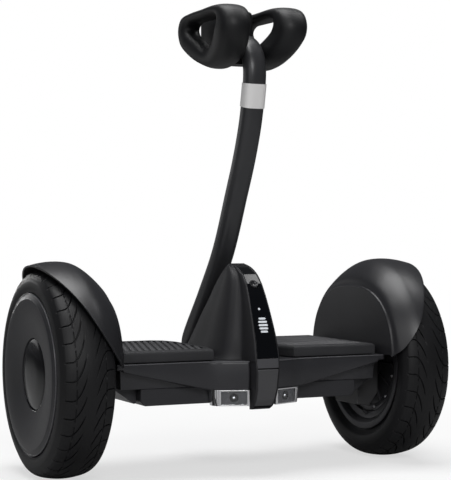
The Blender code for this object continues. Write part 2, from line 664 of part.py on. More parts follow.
FRONT = [(DECK_Z + GAP, FRAME_FRONT_Y - 0.0020), (DECK_Z + 0.0095, FRAME_FRONT_Y - 0.0070),
         (DECK_Z + 0.0275, FRAME_FRONT_Y - 0.0230), (DECK_Z + 0.0515, FRAME_FRONT_Y - 0.0445),
         (HUMP_TOP_Z - 0.0470, HUMP_TOP_Y + 0.0665), (HUMP_TOP_Z - 0.0240, HUMP_TOP_Y + 0.0425),
         (HUMP_TOP_Z - 0.0100, HUMP_TOP_Y + 0.0255), (HUMP_TOP_Z - 0.0030, HUMP_TOP_Y + 0.0170),
         (HUMP_TOP_Z, HUMP_TOP_Y + 0.0110)]
WIDE = [(DECK_Z + GAP, HUMP_HALF), (DECK_Z + 0.0075, HUMP_HALF - 0.0040),
        (DECK_Z + 0.0275, HUMP_HALF - 0.0090),
        (DECK_Z + 0.0515, HUMP_HALF - 0.0140), (HUMP_TOP_Z - 0.0470, HUMP_HALF - 0.0190),
        (HUMP_TOP_Z - 0.0240, HUMP_HALF - 0.0245), (HUMP_TOP_Z - 0.0100, HUMP_HALF - 0.0290),
        (HUMP_TOP_Z - 0.0030, HUMP_HALF - 0.0335), (HUMP_TOP_Z, HUMP_HALF - 0.0385)]
BAND = [(DECK_Z - 0.0615, COLUMN_HALF - 0.0032), (DECK_Z - 0.0515, COLUMN_HALF - 0.0015),
        (DECK_Z + 0.0065, COLUMN_HALF), (DECK_Z + 0.0615, COLUMN_HALF - 0.0028),
        (HUMP_TOP_Z - 0.0135, COLUMN_HALF - 0.0062), (HUMP_TOP_Z, COLUMN_HALF - 0.0085)]
GLASS = [(DECK_Z - 0.0615, COLUMN_HALF - 0.0050), (DECK_Z + 0.0065, COLUMN_HALF - 0.0020),
         (DECK_Z + 0.0615, COLUMN_HALF - 0.0048), (HUMP_TOP_Z - 0.0135, COLUMN_HALF - 0.0082),
         (HUMP_TOP_Z, COLUMN_HALF - 0.0105)]


def rear_run(z0, z1):
    """Points (y, z) up the rear centre line with outward normals. All strips bend at the same heights."""
    slopes = []
    for i, (z, y) in enumerate(REAR):
        below = REAR[max(i - 1, 0)]
        above = REAR[min(i + 1, len(REAR) - 1)]
        slopes.append((z, (above[1] - below[1]) / (above[0] - below[0])))
    heights = [z0] + [z for z, y in REAR if z0 + 0.001 < z < z1 - 0.001] + [z1]
    return [(between(REAR, z), z, Vector((0, -1, between(slopes, z))).normalized()) for z in heights]


def strip(z0, z1, inset, front, back, widths=GLASS):
    """A curved bar that follows the rear line: inset from the edge of its width, front and back offsets."""
    rings = []
    for y, z, normal in rear_run(z0, z1):
        half = between(widths, z) - inset
        base = Vector((0, y, z))
        a = base + normal * front
        b = base + normal * back
        rings.append([(-half, a.y, a.z), (half, a.y, a.z), (half, b.y, b.z), (-half, b.y, b.z)])
    return loft(rings)


def hump_ring(z):
    front = between(FRONT, z)
    rear = between(REAR, z)
    wide = between(WIDE, z)
    band = between(BAND, z)
    length = front - rear
    nose = 0.35 * wide
    half = [(0.0, front), (nose, front - 0.015 * length), (0.62 * wide, front - 0.09 * length),
            (0.82 * wide, front - 0.24 * length), (0.93 * wide, front - 0.45 * length),
            (wide, front - 0.62 * length), (0.97 * wide, front - 0.72 * length),
            (max(band + 0.0045, 0.82 * wide), rear + 0.21 * length), (band + 0.0035, rear + 0.15 * length),
            (band + 0.0005, rear + 0.16 * length), (band, rear + 0.03 * length), (band - 0.0020, rear)]
    mirrored = [(-x, y) for x, y in reversed(half[1:])]
    return [(x, y, z) for x, y in half + mirrored]


def housing():
    levels = [DECK_Z + rise for rise in (GAP, 0.0035, 0.0095, 0.0195, 0.0315, 0.0455, 0.0605)]
    levels += [HUMP_TOP_Z - drop for drop in (0.0470, 0.0340, 0.0230, 0.0140, 0.0080, 0.0035, 0.0012, GAP)]
    ob = emit("central_housing", loft([hump_ring(z) for z in levels]), PLASTIC, 0.42, 0.0, True)
    column = []
    column_top = DECK_Z + 0.0095
    for y, z, normal in rear_run(REAR[0][0], column_top):
        half = between(BAND, z)
        if z > DECK_Z:
            y += 0.0006
        column.append([(-half + 0.004, y, z), (half - 0.004, y, z), (half, y + 0.005, z),
                       (half, COLUMN_FRONT_Y, z), (-half, COLUMN_FRONT_Y, z), (-half, y + 0.005, z)])
    column[0] = [(x * 0.96, y, z) for x, y, z in column[0]]
    boolean(ob, loft(column), "UNION")
    boolean(ob, strip(REAR[0][0] + 0.0020, HUMP_TOP_Z - 0.0030, -GAP, 0.010, -BAND_DEPTH - GAP))
    inner = []
    middle_y = HUMP_TOP_Y + 0.0210
    for z in (DECK_Z - 0.0025, DECK_Z + 0.0135, DECK_Z + 0.0435, HUMP_TOP_Z - 0.0480, HUMP_TOP_Z - 0.0200):
        ring = []
        for x, y, level in hump_ring(max(z, DECK_Z + GAP)):
            ring.append((x * HUMP_WALL_SHARE, middle_y + (y - middle_y) * (HUMP_WALL_SHARE - 0.02), z))
        inner.append(ring)
    boolean(ob, loft(inner))
    port_back_y = PORT_MOUTH_Y + PORT_DEPTH + 0.0005
    boolean(ob, rod((0, PORT_MOUTH_Y - 0.0255, PORT_AXIS_Z), (0, port_back_y, PORT_AXIS_Z), PORT_R + GAP, 20))
    point, normal = button_axis()
    boolean(ob, rod(point + normal * 0.01, point - normal * 0.0062, BUTTON_R + 0.0005, 20))
    return ob


def button_axis():
    y, z, normal = rear_run(BUTTON_Z, BUTTON_Z + 0.001)[0]
    return Vector((0, y, z)), normal


def rear_band():
    point, normal = button_axis()
    glass = emit("display_window", strip(DISPLAY_Z0, HUMP_TOP_Z - 0.0035, 0.0, 0.0, -BAND_DEPTH),
                 GLOSS, 0.08)
    boolean(glass, rod(point + normal * 0.01, point - normal * 0.01, BUTTON_R + 0.0005, 20))
    button = rod(point + normal * 0.0005, point - normal * 0.0045, BUTTON_R, 20)
    ob = emit("power_button", button, PLASTIC, 0.3, 0.0, False, point)
    round_edges(ob, 0.0005, 1, 50)
    emit("band_tile", strip(TILE_Z0, DISPLAY_Z0 - GAP * 2, 0.0, 0.0, -BAND_DEPTH), PLASTIC, 0.4)
    hinge_y, hinge_z, hinge_n = rear_run(PORT_Z1 - 0.0006, PORT_Z1)[0]
    pivot = Vector((0, hinge_y, hinge_z)) - hinge_n * (BAND_DEPTH / 2)
    flap = emit("charge_port_cover", strip(PORT_Z0, PORT_Z1, 0.0, 0.0, -BAND_DEPTH), PLASTIC, 0.5,
                0.0, False, pivot)
    round_edges(flap, 0.0006, 1, 50)
    bore_r = PORT_R - 0.0030
    pin_r = PORT_R - 0.0062
    socket = [(bore_r, 0.0), (PORT_R, 0.0), (PORT_R, -PORT_DEPTH), (pin_r, -PORT_DEPTH),
              (pin_r, 0.0055 - PORT_DEPTH), (bore_r, 0.0055 - PORT_DEPTH)]
    mouth = Vector((0, PORT_MOUTH_Y, PORT_AXIS_Z))
    turned("charge_port_socket", socket, mouth, (0, -1, 0), 16, True, GLOSS, 0.5)


def tail_lamp(side, sign):
    plan = [(LAMP_IN_X, LAMP_Y), (LAMP_BEND_X, LAMP_BEND_Y), (LAMP_OUT_X, LAMP_BEND_Y + 0.0080),
            (LAMP_OUT_X, LAMP_BACK_Y), (LAMP_IN_X, LAMP_BACK_Y)]
    rings = []
    for z, shift in ((LAMP_Z0, -0.0020), (LAMP_Z1, 0.0)):
        ring = []
        for x, y in plan:
            moved = x if x == LAMP_IN_X else x + shift
            ring.append((sign * moved, y, z))
        rings.append(ring)
    ob = emit(side + "_tail_lamp_bezel", loft(rings), SILVER, 0.25, 0.9)
    tilt = math.atan2(LAMP_BEND_Y - LAMP_Y, LAMP_BEND_X - LAMP_IN_X) * sign
    middle = Vector((sign * (LAMP_IN_X + LAMP_BEND_X) / 2, (LAMP_Y + LAMP_BEND_Y) / 2, (LAMP_Z0 + LAMP_Z1) / 2))

    def plate(half_x, half_z, depth0, depth1):
        bm = box(-half_x, half_x, depth0, depth1, -half_z, half_z)
        turn = Matrix.Rotation(tilt, 4, "Z")
        bmesh.ops.transform(bm, verts=bm.verts, matrix=Matrix.Translation(middle) @ turn)
        return bm

    pocket = 0.0120
    boolean(ob, plate(WINDOW_HALF_X, WINDOW_HALF_Z, -0.01, pocket))
    round_edges(ob, 0.0005, 1)
    lens = plate(WINDOW_HALF_X - GAP, WINDOW_HALF_Z - GAP, 0.0010, 0.0030)
    emit(side + "_tail_lamp_lens", lens, (0.6, 0.6, 0.62), 0.05)
    face = Matrix.Rotation(tilt, 3, "Z") @ Vector((0, -1, 0))
    back = middle - face * (pocket - GAP)
    lit = middle - face * 0.0045
    emit(side + "_tail_lamp_reflector", rod(back, lit, 0.0030, 20, 0.0042), SILVER, 0.15, 0.9, True)


# Steering: y and z of the knee bar's centre line, from its foot in the socket to its end between the pads
BAR_PATH = [(BAR_FOOT_Y, DECK_Z - 0.0240), (BAR_FOOT_Y, DECK_Z - 0.0085),
            (BAR_FOOT_Y - 0.0010, DECK_Z + 0.0035), (BAR_FOOT_Y - 0.0085, DECK_Z + 0.0215),
            (0.0545, DECK_Z + 0.0785), (0.0080, DECK_Z + 0.1381),
            (-0.0305, DECK_Z + 0.2105), (-0.0530, DECK_Z + 0.2545), (-0.0710, DECK_Z + 0.2995),
            (-0.0810, DECK_Z + 0.3405), (-0.0840, DECK_Z + 0.3645), (-0.0805, DECK_Z + 0.3815),
            (-0.0700, DECK_Z + 0.3955), (-0.0550, DECK_Z + 0.4035), (-0.0400, DECK_Z + 0.4060)]


def bar_rings(grow, start=0, end=None, count=12, power=3.0):
    points = smooth_path(BAR_PATH[start:end], 2)
    section = oval(count, power)
    rings = []
    last = len(points) - 1
    for i, (y, z) in enumerate(points):
        before = points[max(i - 1, 0)]
        after = points[min(i + 1, last)]
        along = Vector((0, after[0] - before[0], after[1] - before[1])).normalized()
        across = Vector((0, along.z, -along.y))
        ring = []
        for u, v in section:
            p = Vector((u * (BAR_W / 2 + grow), y, z)) + across * (v * (BAR_T / 2 + grow))
            ring.append(tuple(p))
        rings.append(ring)
    return rings


def stretch(rings, first, last):
    """Push the first and last ring outwards along the path."""
    def centre(ring):
        return sum((Vector(p) for p in ring), Vector()) / len(ring)

    a = (centre(rings[0]) - centre(rings[1])).normalized() * first
    b = (centre(rings[-1]) - centre(rings[-2])).normalized() * last
    rings[0] = [tuple(Vector(p) + a) for p in rings[0]]
    rings[-1] = [tuple(Vector(p) + b) for p in rings[-1]]
    return rings


def spring():
    """The coil that brings the bar back upright, wound round the steering shaft."""
    curve = bpy.data.curves.new("centring_spring", "CURVE")
    curve.dimensions = "3D"
    curve.bevel_depth = SPRING_WIRE_R
    curve.bevel_resolution = 1
    curve.use_fill_caps = True
    line = curve.splines.new("POLY")
    sides = 8
    count = SPRING_TURNS * sides
    line.points.add(count)
    for k in range(count + 1):
        angle = math.tau * k / sides
        y = SPRING_Y0 + (SPRING_Y1 - SPRING_Y0) * k / count
        line.points[k].co = (SPRING_R * math.cos(angle), y, SPRING_R * math.sin(angle), 1)
    curve.materials.append(material("centring_spring_mat", STEEL, 0.4, 0.9))
    ob = bpy.data.objects.new("centring_spring", curve)
    ob.location = (0, 0, STEER_Z)
    PARTS.objects.link(ob)


def steering():
    origin = (0, 0, STEER_Z)
    bar = emit("knee_bar", loft(bar_rings(0.0)), PAINT, 0.40, 0.2, True, origin)
    bore = bar_rings(-BAR_WALL, 0, None, 6)[:-2]
    boolean(bar, loft(stretch(bore, 0.004, 0.0)))
    socket = emit("bar_socket", box(-SOCKET_X, SOCKET_X, SOCKET_Y0, SOCKET_Y1, SOCKET_Z0, SOCKET_Z1),
                  PAINT, 0.45, 0.4, False, origin)
    boolean(socket, loft(stretch(bar_rings(GAP, 0, 5), GAP, 0.0)))
    round_edges(socket, 0.0015, 1, 50)
    plate_y = SHAFT_PLATE_Y + SHAFT_PLATE_T
    profile = [(0, plate_y), (SHAFT_PLATE_R, plate_y), (SHAFT_PLATE_R, SHAFT_PLATE_Y), (SHAFT_R, SHAFT_PLATE_Y),
               (SHAFT_R, SHAFT_REAR_Y), (0, SHAFT_REAR_Y)]
    turned("steering_shaft", profile, origin, (0, 1, 0), 16, False, STEEL, 0.35, 1.0)
    for name, low, high in (("front_steering_bearing", FRAME_FRONT_Y - 0.0130, FRAME_FRONT_Y - 0.0030),
                            ("rear_steering_bearing", BLOCK_REAR_Y + 0.0060, BLOCK_FRONT_Y - 0.0050)):
        ring = [(STEER_BEARING_R, high), (STEER_BEARING_R, low), (SHAFT_R + GAP, low), (SHAFT_R + GAP, high)]
        turned(name, ring, origin, (0, 1, 0), 16, True, STEEL, 0.3, 1.0)
    block = emit("steering_pillow_block", box(-BLOCK_HALF_X, BLOCK_HALF_X, BLOCK_REAR_Y, BLOCK_FRONT_Y,
                                              FRAME_BOTTOM_Z + 0.0005, CAVITY_TOP_Z - GAP), STEEL, 0.5, 0.7)
    boolean(block, rod((0, BLOCK_REAR_Y - 0.02, STEER_Z), (0, BLOCK_FRONT_Y + 0.02, STEER_Z),
                       STEER_BEARING_R + GAP, 24))
    spring()
    sensor = rod((0, CAVITY_REAR_Y + GAP, STEER_Z), (0, SHAFT_REAR_Y - GAP, STEER_Z), SHAFT_R + 0.0025, 20)
    emit("lean_angle_sensor", sensor, (0.03, 0.03, 0.035), 0.5)
    lever_y = SOCKET_Y1 + 2 * GAP
    plate = box(-LEVER_HALF_X, LEVER_HALF_X, lever_y, lever_y + LEVER_T, LEVER_Z0, LEVER_Z1)
    hinge = (0, lever_y + LEVER_T / 2, LEVER_Z1 - 0.0012)
    lever = emit("bar_lock_lever", plate, SILVER, 0.4, 0.7, False, hinge)
    round_edges(lever, 0.0010, 2, 50)

    outer = []
    bore = []
    for skin, core in zip(bar_rings(LABEL_T), bar_rings(GAP)):
        height = sum(p[2] for p in skin) / len(skin)
        if LABEL_Z0 <= height <= LABEL_Z0 + LABEL_H:
            outer.append(skin)
            bore.append(core)
    label = emit("label_band", loft(outer), (0.75, 0.75, 0.76), 0.4, 0.0, True, origin)
    boolean(label, loft(stretch(bore, 0.003, 0.003)))


# Knee pads: y and height above the deck of a pad's outer edge and of its hole
PAD_OUT = [(-0.035, 0.4492), (-0.083, 0.4493), (-0.1125, 0.4430), (-0.1262, 0.4215), (-0.1170, 0.3975),
           (-0.0880, 0.3790), (-0.0500, 0.3715), (-0.0180, 0.3770), (0.0150, 0.3900), (0.0385, 0.4075),
           (0.0465, 0.4275), (0.0360, 0.4450), (0.0030, 0.4490)]
PAD_IN = [(-0.0330, 0.4360), (-0.0650, 0.4365), (-0.0835, 0.4330), (-0.0830, 0.4245), (-0.0670, 0.4135),
          (-0.0480, 0.4045), (-0.0330, 0.3995), (-0.0200, 0.4015), (-0.0030, 0.4120), (0.0110, 0.4205),
          (0.0180, 0.4300), (0.0080, 0.4355), (-0.0080, 0.4360)]
PAD_X = 0.0400
PAD_FOOT_X = PAD_X - 0.0130
PAD_LEAN_Z = DECK_Z + 0.4135
PAD_HALF_FRONT = 0.0135
PAD_HALF_REAR = 0.0205
PAD_FRONT_Y = 0.030
PAD_REAR_Y = -0.107
NECK_RING = 18
FOOT_HALF_X = BAR_W / 2 - 0.0030
FOOT_Y0 = -0.0600
FOOT_Y1 = -0.0300
FOOT_Z0 = DECK_Z + 0.3750
FOOT_Z1 = FOOT_Z0 + 0.0205
BRIDGE_HALF_X = BAR_W / 2 + 0.0065
BRIDGE = [(BAR_W / 2, FOOT_Z1 - 0.0015), (BRIDGE_HALF_X, FOOT_Z1 + 0.0190), (BRIDGE_HALF_X, FOOT_Z1 + 0.0400)]
BRIDGE_REAR_Y = -0.0480
BRIDGE_FRONT_Y = 0.0340


def knee_pad(side, sign):
    outer = smooth_path(PAD_OUT, 2, True)
    inner = smooth_path(PAD_IN, 2, True)
    section = oval(12, 2.6)
    rings = []
    for (oy, oz), (iy, iz) in zip(outer, inner):
        my = (oy + iy) / 2
        mz = DECK_Z + (oz + iz) / 2
        ry = (oy - iy) / 2
        rz = (oz - iz) / 2
        lean = min(max((PAD_LEAN_Z - mz) / 0.040, 0.0), 1.0)
        x = PAD_X + (PAD_FOOT_X - PAD_X) * lean
        share = (PAD_FRONT_Y - my) / (PAD_FRONT_Y - PAD_REAR_Y)
        half = PAD_HALF_FRONT + (PAD_HALF_REAR - PAD_HALF_FRONT) * share
        rings.append([(sign * (x + half * u), my + ry * v, mz + rz * v) for u, v in section])
    ob = emit(side + "_knee_pad", loft(rings, False, True), FOAM, 0.6, 0.0, True, (0, 0, STEER_Z))
    boolean(ob, box(-FOOT_HALF_X - GAP, FOOT_HALF_X + GAP, FOOT_Y0 - GAP, FOOT_Y1 + GAP,
                    FOOT_Z0 - GAP, FOOT_Z1 + GAP))
    boolean(ob, loft(stretch(bar_rings(2 * GAP)[NECK_RING:], 0.0, 2 * GAP)))


def pad_bracket():
    ob = emit("pad_bracket", box(-FOOT_HALF_X, FOOT_HALF_X, FOOT_Y0, FOOT_Y1, FOOT_Z0, FOOT_Z1), PAINT, 0.5,
              0.3, False, (0, 0, STEER_Z))
    outline = BRIDGE + [(-x, z) for x, z in reversed(BRIDGE)]
    boolean(ob, prism(outline, 1, BRIDGE_REAR_Y, BRIDGE_FRONT_Y), "UNION")
    boolean(ob, loft(stretch(bar_rings(GAP)[NECK_RING:], 0.0, GAP)))


def electronics():
    top = CAVITY_TOP_Z - GAP
    board = box(BLOCK_HALF_X + 0.0200, CAVITY_X - 0.0300, CAVITY_REAR_Y + 0.0100, CAVITY_FRONT_Y - 0.0180,
                top - 0.0020, top)
    emit("control_board", board, (0.02, 0.10, 0.05), 0.5)


for _side, _sign in SIDES:
    wheel(_side, _sign)
    axle_bracket(_side, _sign)
    fender(_side, _sign)
    foot_mat(_side, _sign)
    tail_lamp(_side, _sign)
    knee_pad(_side, _sign)
frame()
battery()
housing()
rear_band()
steering()
pad_bracket()
electronics()
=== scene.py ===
"""Looks of the self-balancing scooter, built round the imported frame. Metres, +Y forward, +Z up."""
import math

import bmesh
import bpy
import numpy as np
from mathutils import Matrix, Vector


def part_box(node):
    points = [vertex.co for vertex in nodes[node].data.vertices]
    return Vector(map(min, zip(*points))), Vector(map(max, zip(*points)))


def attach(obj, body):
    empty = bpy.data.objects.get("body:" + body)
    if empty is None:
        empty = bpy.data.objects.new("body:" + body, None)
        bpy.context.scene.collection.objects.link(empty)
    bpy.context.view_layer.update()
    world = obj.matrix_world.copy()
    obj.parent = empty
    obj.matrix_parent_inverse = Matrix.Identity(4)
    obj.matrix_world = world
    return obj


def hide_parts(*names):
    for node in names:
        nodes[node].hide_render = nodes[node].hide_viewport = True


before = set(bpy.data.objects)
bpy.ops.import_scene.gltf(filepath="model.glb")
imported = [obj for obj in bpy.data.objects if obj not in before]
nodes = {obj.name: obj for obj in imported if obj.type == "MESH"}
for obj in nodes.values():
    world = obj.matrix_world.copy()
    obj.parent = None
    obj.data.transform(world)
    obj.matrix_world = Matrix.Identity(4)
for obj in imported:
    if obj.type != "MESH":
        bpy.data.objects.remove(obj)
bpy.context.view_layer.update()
SIDES = (("left", -1), ("right", 1))

# Sizes shared with the solids
WHEEL_R = 0.131
TRACK_HALF = 0.2362
FLANGE_R = 0.0935
FLANGE_H = 0.03
BEAD_R = 0.082
COVER_R = 0.101
CAP_R = 0.0447
MOTOR_BORE_R = 0.07
MOTOR_HALF = 0.018
FENDER_X = 0.188
DECK_Z = 0.1465
MAT_TOP_Z = 0.1615
HUMP_TOP_Z = 0.268
BAND_DEPTH = 0.0024
COLUMN_FRONT_Y = -0.0982
BAR_W = 0.028
BAR_T = 0.0235
GAP = 0.0003


# Camera and stage
CAMERA_PLACE = (-0.8663, -1.8243, 0.3116)
CAMERA_YAW = math.radians(25.373)
CAMERA_PITCH = math.radians(-0.389)
SENSOR_MM = 36.0
FOCAL_PX = 1528
PICTURE_PX = 480
AMBIENT_TINT = (0.93, 0.95, 1.0, 1)
AMBIENT_POWER = 0.09
FLOOR_HALF = 30
FLOOR_Z = -0.0004
# how grey the floor is for the light that it throws back, and for the camera
FLOOR_GREYS = (0.42, 0.88)
# the floor fades from a share of plain white near the scooter to all white further out
FADE = {"From Min": 0.28, "From Max": 0.95, "To Min": 0.62, "To Max": 1.0}
# each lamp's name, place, target, size, power in watts and spread in degrees
LAMPS = [
    ("softbox_top", (-0.15, 0.1, 2.0), (0, 0, 0.2), (1.4, 1.2), 32, 180),
    ("softbox_back", (-0.75, 1.9, 0.55), (0, 0, 0.22), (1.2, 0.5), 1.3, 180),
    ("strip_top", (0.8, -0.06, 1.6), (0.1, -0.09, 0.15), (0.6, 0.3), 3.5, 180),
    ("softbox_left", (-1.9, -1.3, 1.1), (0, 0, 0.2), (1.6, 1.3), 8, 180),
    ("softbox_front", (-0.6, -2.4, 1.5), (0, 0, 0.25), (1.0, 0.8), 26, 180),
    ("strip_back", (-0.33, 0.8, 0.36), (-0.27, 0, 0.13), (0.045, 0.66), 0.05, 24),
]


def aimed(name, data, place, look):
    """A camera or lamp at a place of the scene, turned to look along a direction."""
    ob = bpy.data.objects.new(name, data)
    bpy.context.scene.collection.objects.link(ob)
    ob.location = place
    ob.rotation_mode = "QUATERNION"
    ob.rotation_quaternion = Vector(look).to_track_quat("-Z", "Y")
    return ob


def camera():
    data = bpy.data.cameras.new("photo_camera")
    data.sensor_width = SENSOR_MM
    data.lens = FOCAL_PX / PICTURE_PX * SENSOR_MM
    data.clip_start = 0.05
    data.clip_end = 100
    level = math.cos(CAMERA_PITCH)
    look = (math.sin(CAMERA_YAW) * level, math.cos(CAMERA_YAW) * level, math.sin(CAMERA_PITCH))
    bpy.context.scene.camera = aimed("photo_camera", data, CAMERA_PLACE, look)


def lamps():
    for name, place, target, size, power, spread in LAMPS:
        data = bpy.data.lights.new(name, "AREA")
        data.shape = "RECTANGLE"
        data.size = size[0]
        data.size_y = size[1]
        data.energy = power
        data.spread = math.radians(spread)
        aimed(name, data, place, Vector(target) - Vector(place))


def add(tree, kind, inputs=None, **settings):
    """A new shader node, with its settings and with the values or sockets that go into its inputs."""
    node = tree.nodes.new("ShaderNode" + kind)
    for name, value in settings.items():
        setattr(node, name, value)
    for name, value in (inputs or {}).items():
        if isinstance(value, bpy.types.NodeSocket):
            tree.links.new(value, node.inputs[name])
        else:
            node.inputs[name].default_value = value
    return node


def ambient():
    """A dim blue-white world that the camera sees as plain white."""
    world = bpy.data.worlds.new("studio")
    bpy.context.scene.world = world
    world.use_nodes = True
    tree = world.node_tree
    tree.nodes.clear()
    dim = add(tree, "Background", {"Color": AMBIENT_TINT, "Strength": AMBIENT_POWER})
    white = add(tree, "Background", {"Color": (1, 1, 1, 1), "Strength": 1.0})
    path = add(tree, "LightPath").outputs
    seen = add(tree, "Math", {0: path["Is Camera Ray"], 1: path["Is Transmission Ray"]},
               operation="ADD", use_clamp=True)
    mix = add(tree, "MixShader", {0: seen.outputs[0], 1: dim.outputs[0], 2: white.outputs[0]})
    add(tree, "OutputWorld", {0: mix.outputs[0]})


def floor():
    mesh = bpy.data.meshes.new("floor")
    far = FLOOR_HALF
    mesh.from_pydata([(-far, -far, 0), (far, -far, 0), (far, far, 0), (-far, far, 0)], [], [(0, 1, 2, 3)])
    ob = bpy.data.objects.new("floor", mesh)
    bpy.context.scene.collection.objects.link(ob)
    ob.location.z = FLOOR_Z
    mat = bpy.data.materials.new("floor_paper")
    mat.use_nodes = True
    tree = mat.node_tree
    tree.nodes.clear()
    shades = [add(tree, "BsdfDiffuse", {"Color": (grey, grey, grey, 1)}) for grey in FLOOR_GREYS]
    white = add(tree, "Emission")
    seen = add(tree, "LightPath").outputs["Is Camera Ray"]
    place = add(tree, "TexCoord").outputs["Object"]
    length = add(tree, "VectorMath", {0: place}, operation="LENGTH")
    fade = add(tree, "MapRange", {"Value": length.outputs["Value"], **FADE})
    share = add(tree, "Math", {0: fade.outputs["Result"], 1: seen}, operation="MULTIPLY")
    paper = add(tree, "MixShader", {0: seen, 1: shades[0].outputs[0], 2: shades[1].outputs[0]})
    mix = add(tree, "MixShader", {0: share.outputs[0], 1: paper.outputs[0], 2: white.outputs[0]})
    add(tree, "OutputMaterial", {0: mix.outputs[0]})
    mesh.materials.append(mat)


def stage():
    ambient()
    floor()
    lamps()
    bpy.context.scene.view_settings.view_transform = "Standard"


# Materials
EDGE_ROUND = 0.0007
MOTTLE_SCALE = 14.0
WEAR_SCALE = 90.0
# a noise's middle range, which the mottling is spread over
NOISE_LOW = 0.3
NOISE_HIGH = 0.7


def principled(name):
    mat = bpy.data.materials.new(name)
    mat.use_nodes = True
    return mat, mat.node_tree, mat.node_tree.nodes["Principled BSDF"]


def noise(tree, place, scale, detail=2.0):
    return add(tree, "TexNoise", {"Vector": place, "Scale": scale, "Detail": detail}).outputs["Fac"]


def surface(name, colour, rough, metal=0.0, grain=900.0, bump=0.15, depth=0.0002, mottle=0.12,
            rough_mottle=0.06, specular=0.5, wear=0.5):
    """A moulded or coated surface: fine grain in the normal and roughness, slow mottling in colour, and
    rounded edges that are rubbed lighter in patches."""
    mat, tree, bsdf = principled(name)
    bsdf.inputs["Metallic"].default_value = metal
    bsdf.inputs["Specular IOR Level"].default_value = specular
    place = add(tree, "TexCoord").outputs["Object"]
    fine = noise(tree, place, grain, 3.0)

    ramp = add(tree, "ValToRGB", {"Fac": noise(tree, place, MOTTLE_SCALE, 5.0)})
    stops = zip(ramp.color_ramp.elements, (NOISE_LOW, NOISE_HIGH), (1 - mottle, 1 + mottle))
    for stop, position, share in stops:
        stop.position = position
        stop.color = (*[min(c * share, 1) for c in colour], 1)

    rounded = add(tree, "Bevel", {"Radius": EDGE_ROUND}, samples=4).outputs["Normal"]
    shape = add(tree, "NewGeometry").outputs["Normal"]
    turned = add(tree, "VectorMath", {0: rounded, 1: shape}, operation="DOT_PRODUCT").outputs["Value"]
    rim = add(tree, "MapRange", {"Value": turned, "From Min": 0.99, "From Max": 0.85, "To Max": wear})
    patch = noise(tree, place, WEAR_SCALE, 4.0)
    rubbed = add(tree, "Math", {0: rim.outputs["Result"], 1: patch}, operation="MULTIPLY")
    pale = (*[min(c * 2.5 + 0.02, 1) for c in colour], 1)
    tint = add(tree, "Mix", {"Factor": rubbed.outputs[0], "A": ramp.outputs["Color"], "B": pale},
               data_type="RGBA")
    tree.links.new(tint.outputs["Result"], bsdf.inputs["Base Color"])

    gloss = add(tree, "MapRange", {"Value": fine, "From Min": NOISE_LOW, "From Max": NOISE_HIGH,
                                   "To Min": rough - rough_mottle, "To Max": rough + rough_mottle})
    tree.links.new(gloss.outputs["Result"], bsdf.inputs["Roughness"])
    relief = add(tree, "Bump", {"Strength": bump, "Distance": depth, "Height": fine, "Normal": rounded})
    tree.links.new(relief.outputs["Normal"], bsdf.inputs["Normal"])
    return mat


def lit(name, colour, strength):
    """A display's light, with fine grain in its strength."""
    mat, tree, bsdf = principled(name)
    bsdf.inputs["Roughness"].default_value = 0.4
    bsdf.inputs["Emission Strength"].default_value = strength
    ramp = add(tree, "ValToRGB", {"Fac": noise(tree, add(tree, "TexCoord").outputs["Object"], 600.0)})
    ramp.color_ramp.elements[0].color = (*[c * 0.85 for c in colour], 1)
    ramp.color_ramp.elements[1].color = (*colour, 1)
    for target in ("Base Color", "Emission Color"):
        tree.links.new(ramp.outputs["Color"], bsdf.inputs[target])
    return mat


def clear_plastic(name):
    mat = surface(name, (0.92, 0.93, 0.95), 0.06, grain=700, bump=0.03, mottle=0.02, rough_mottle=0.02)
    bsdf = mat.node_tree.nodes["Principled BSDF"]
    bsdf.inputs["Transmission Weight"].default_value = 1.0
    bsdf.inputs["IOR"].default_value = 1.49
    return mat


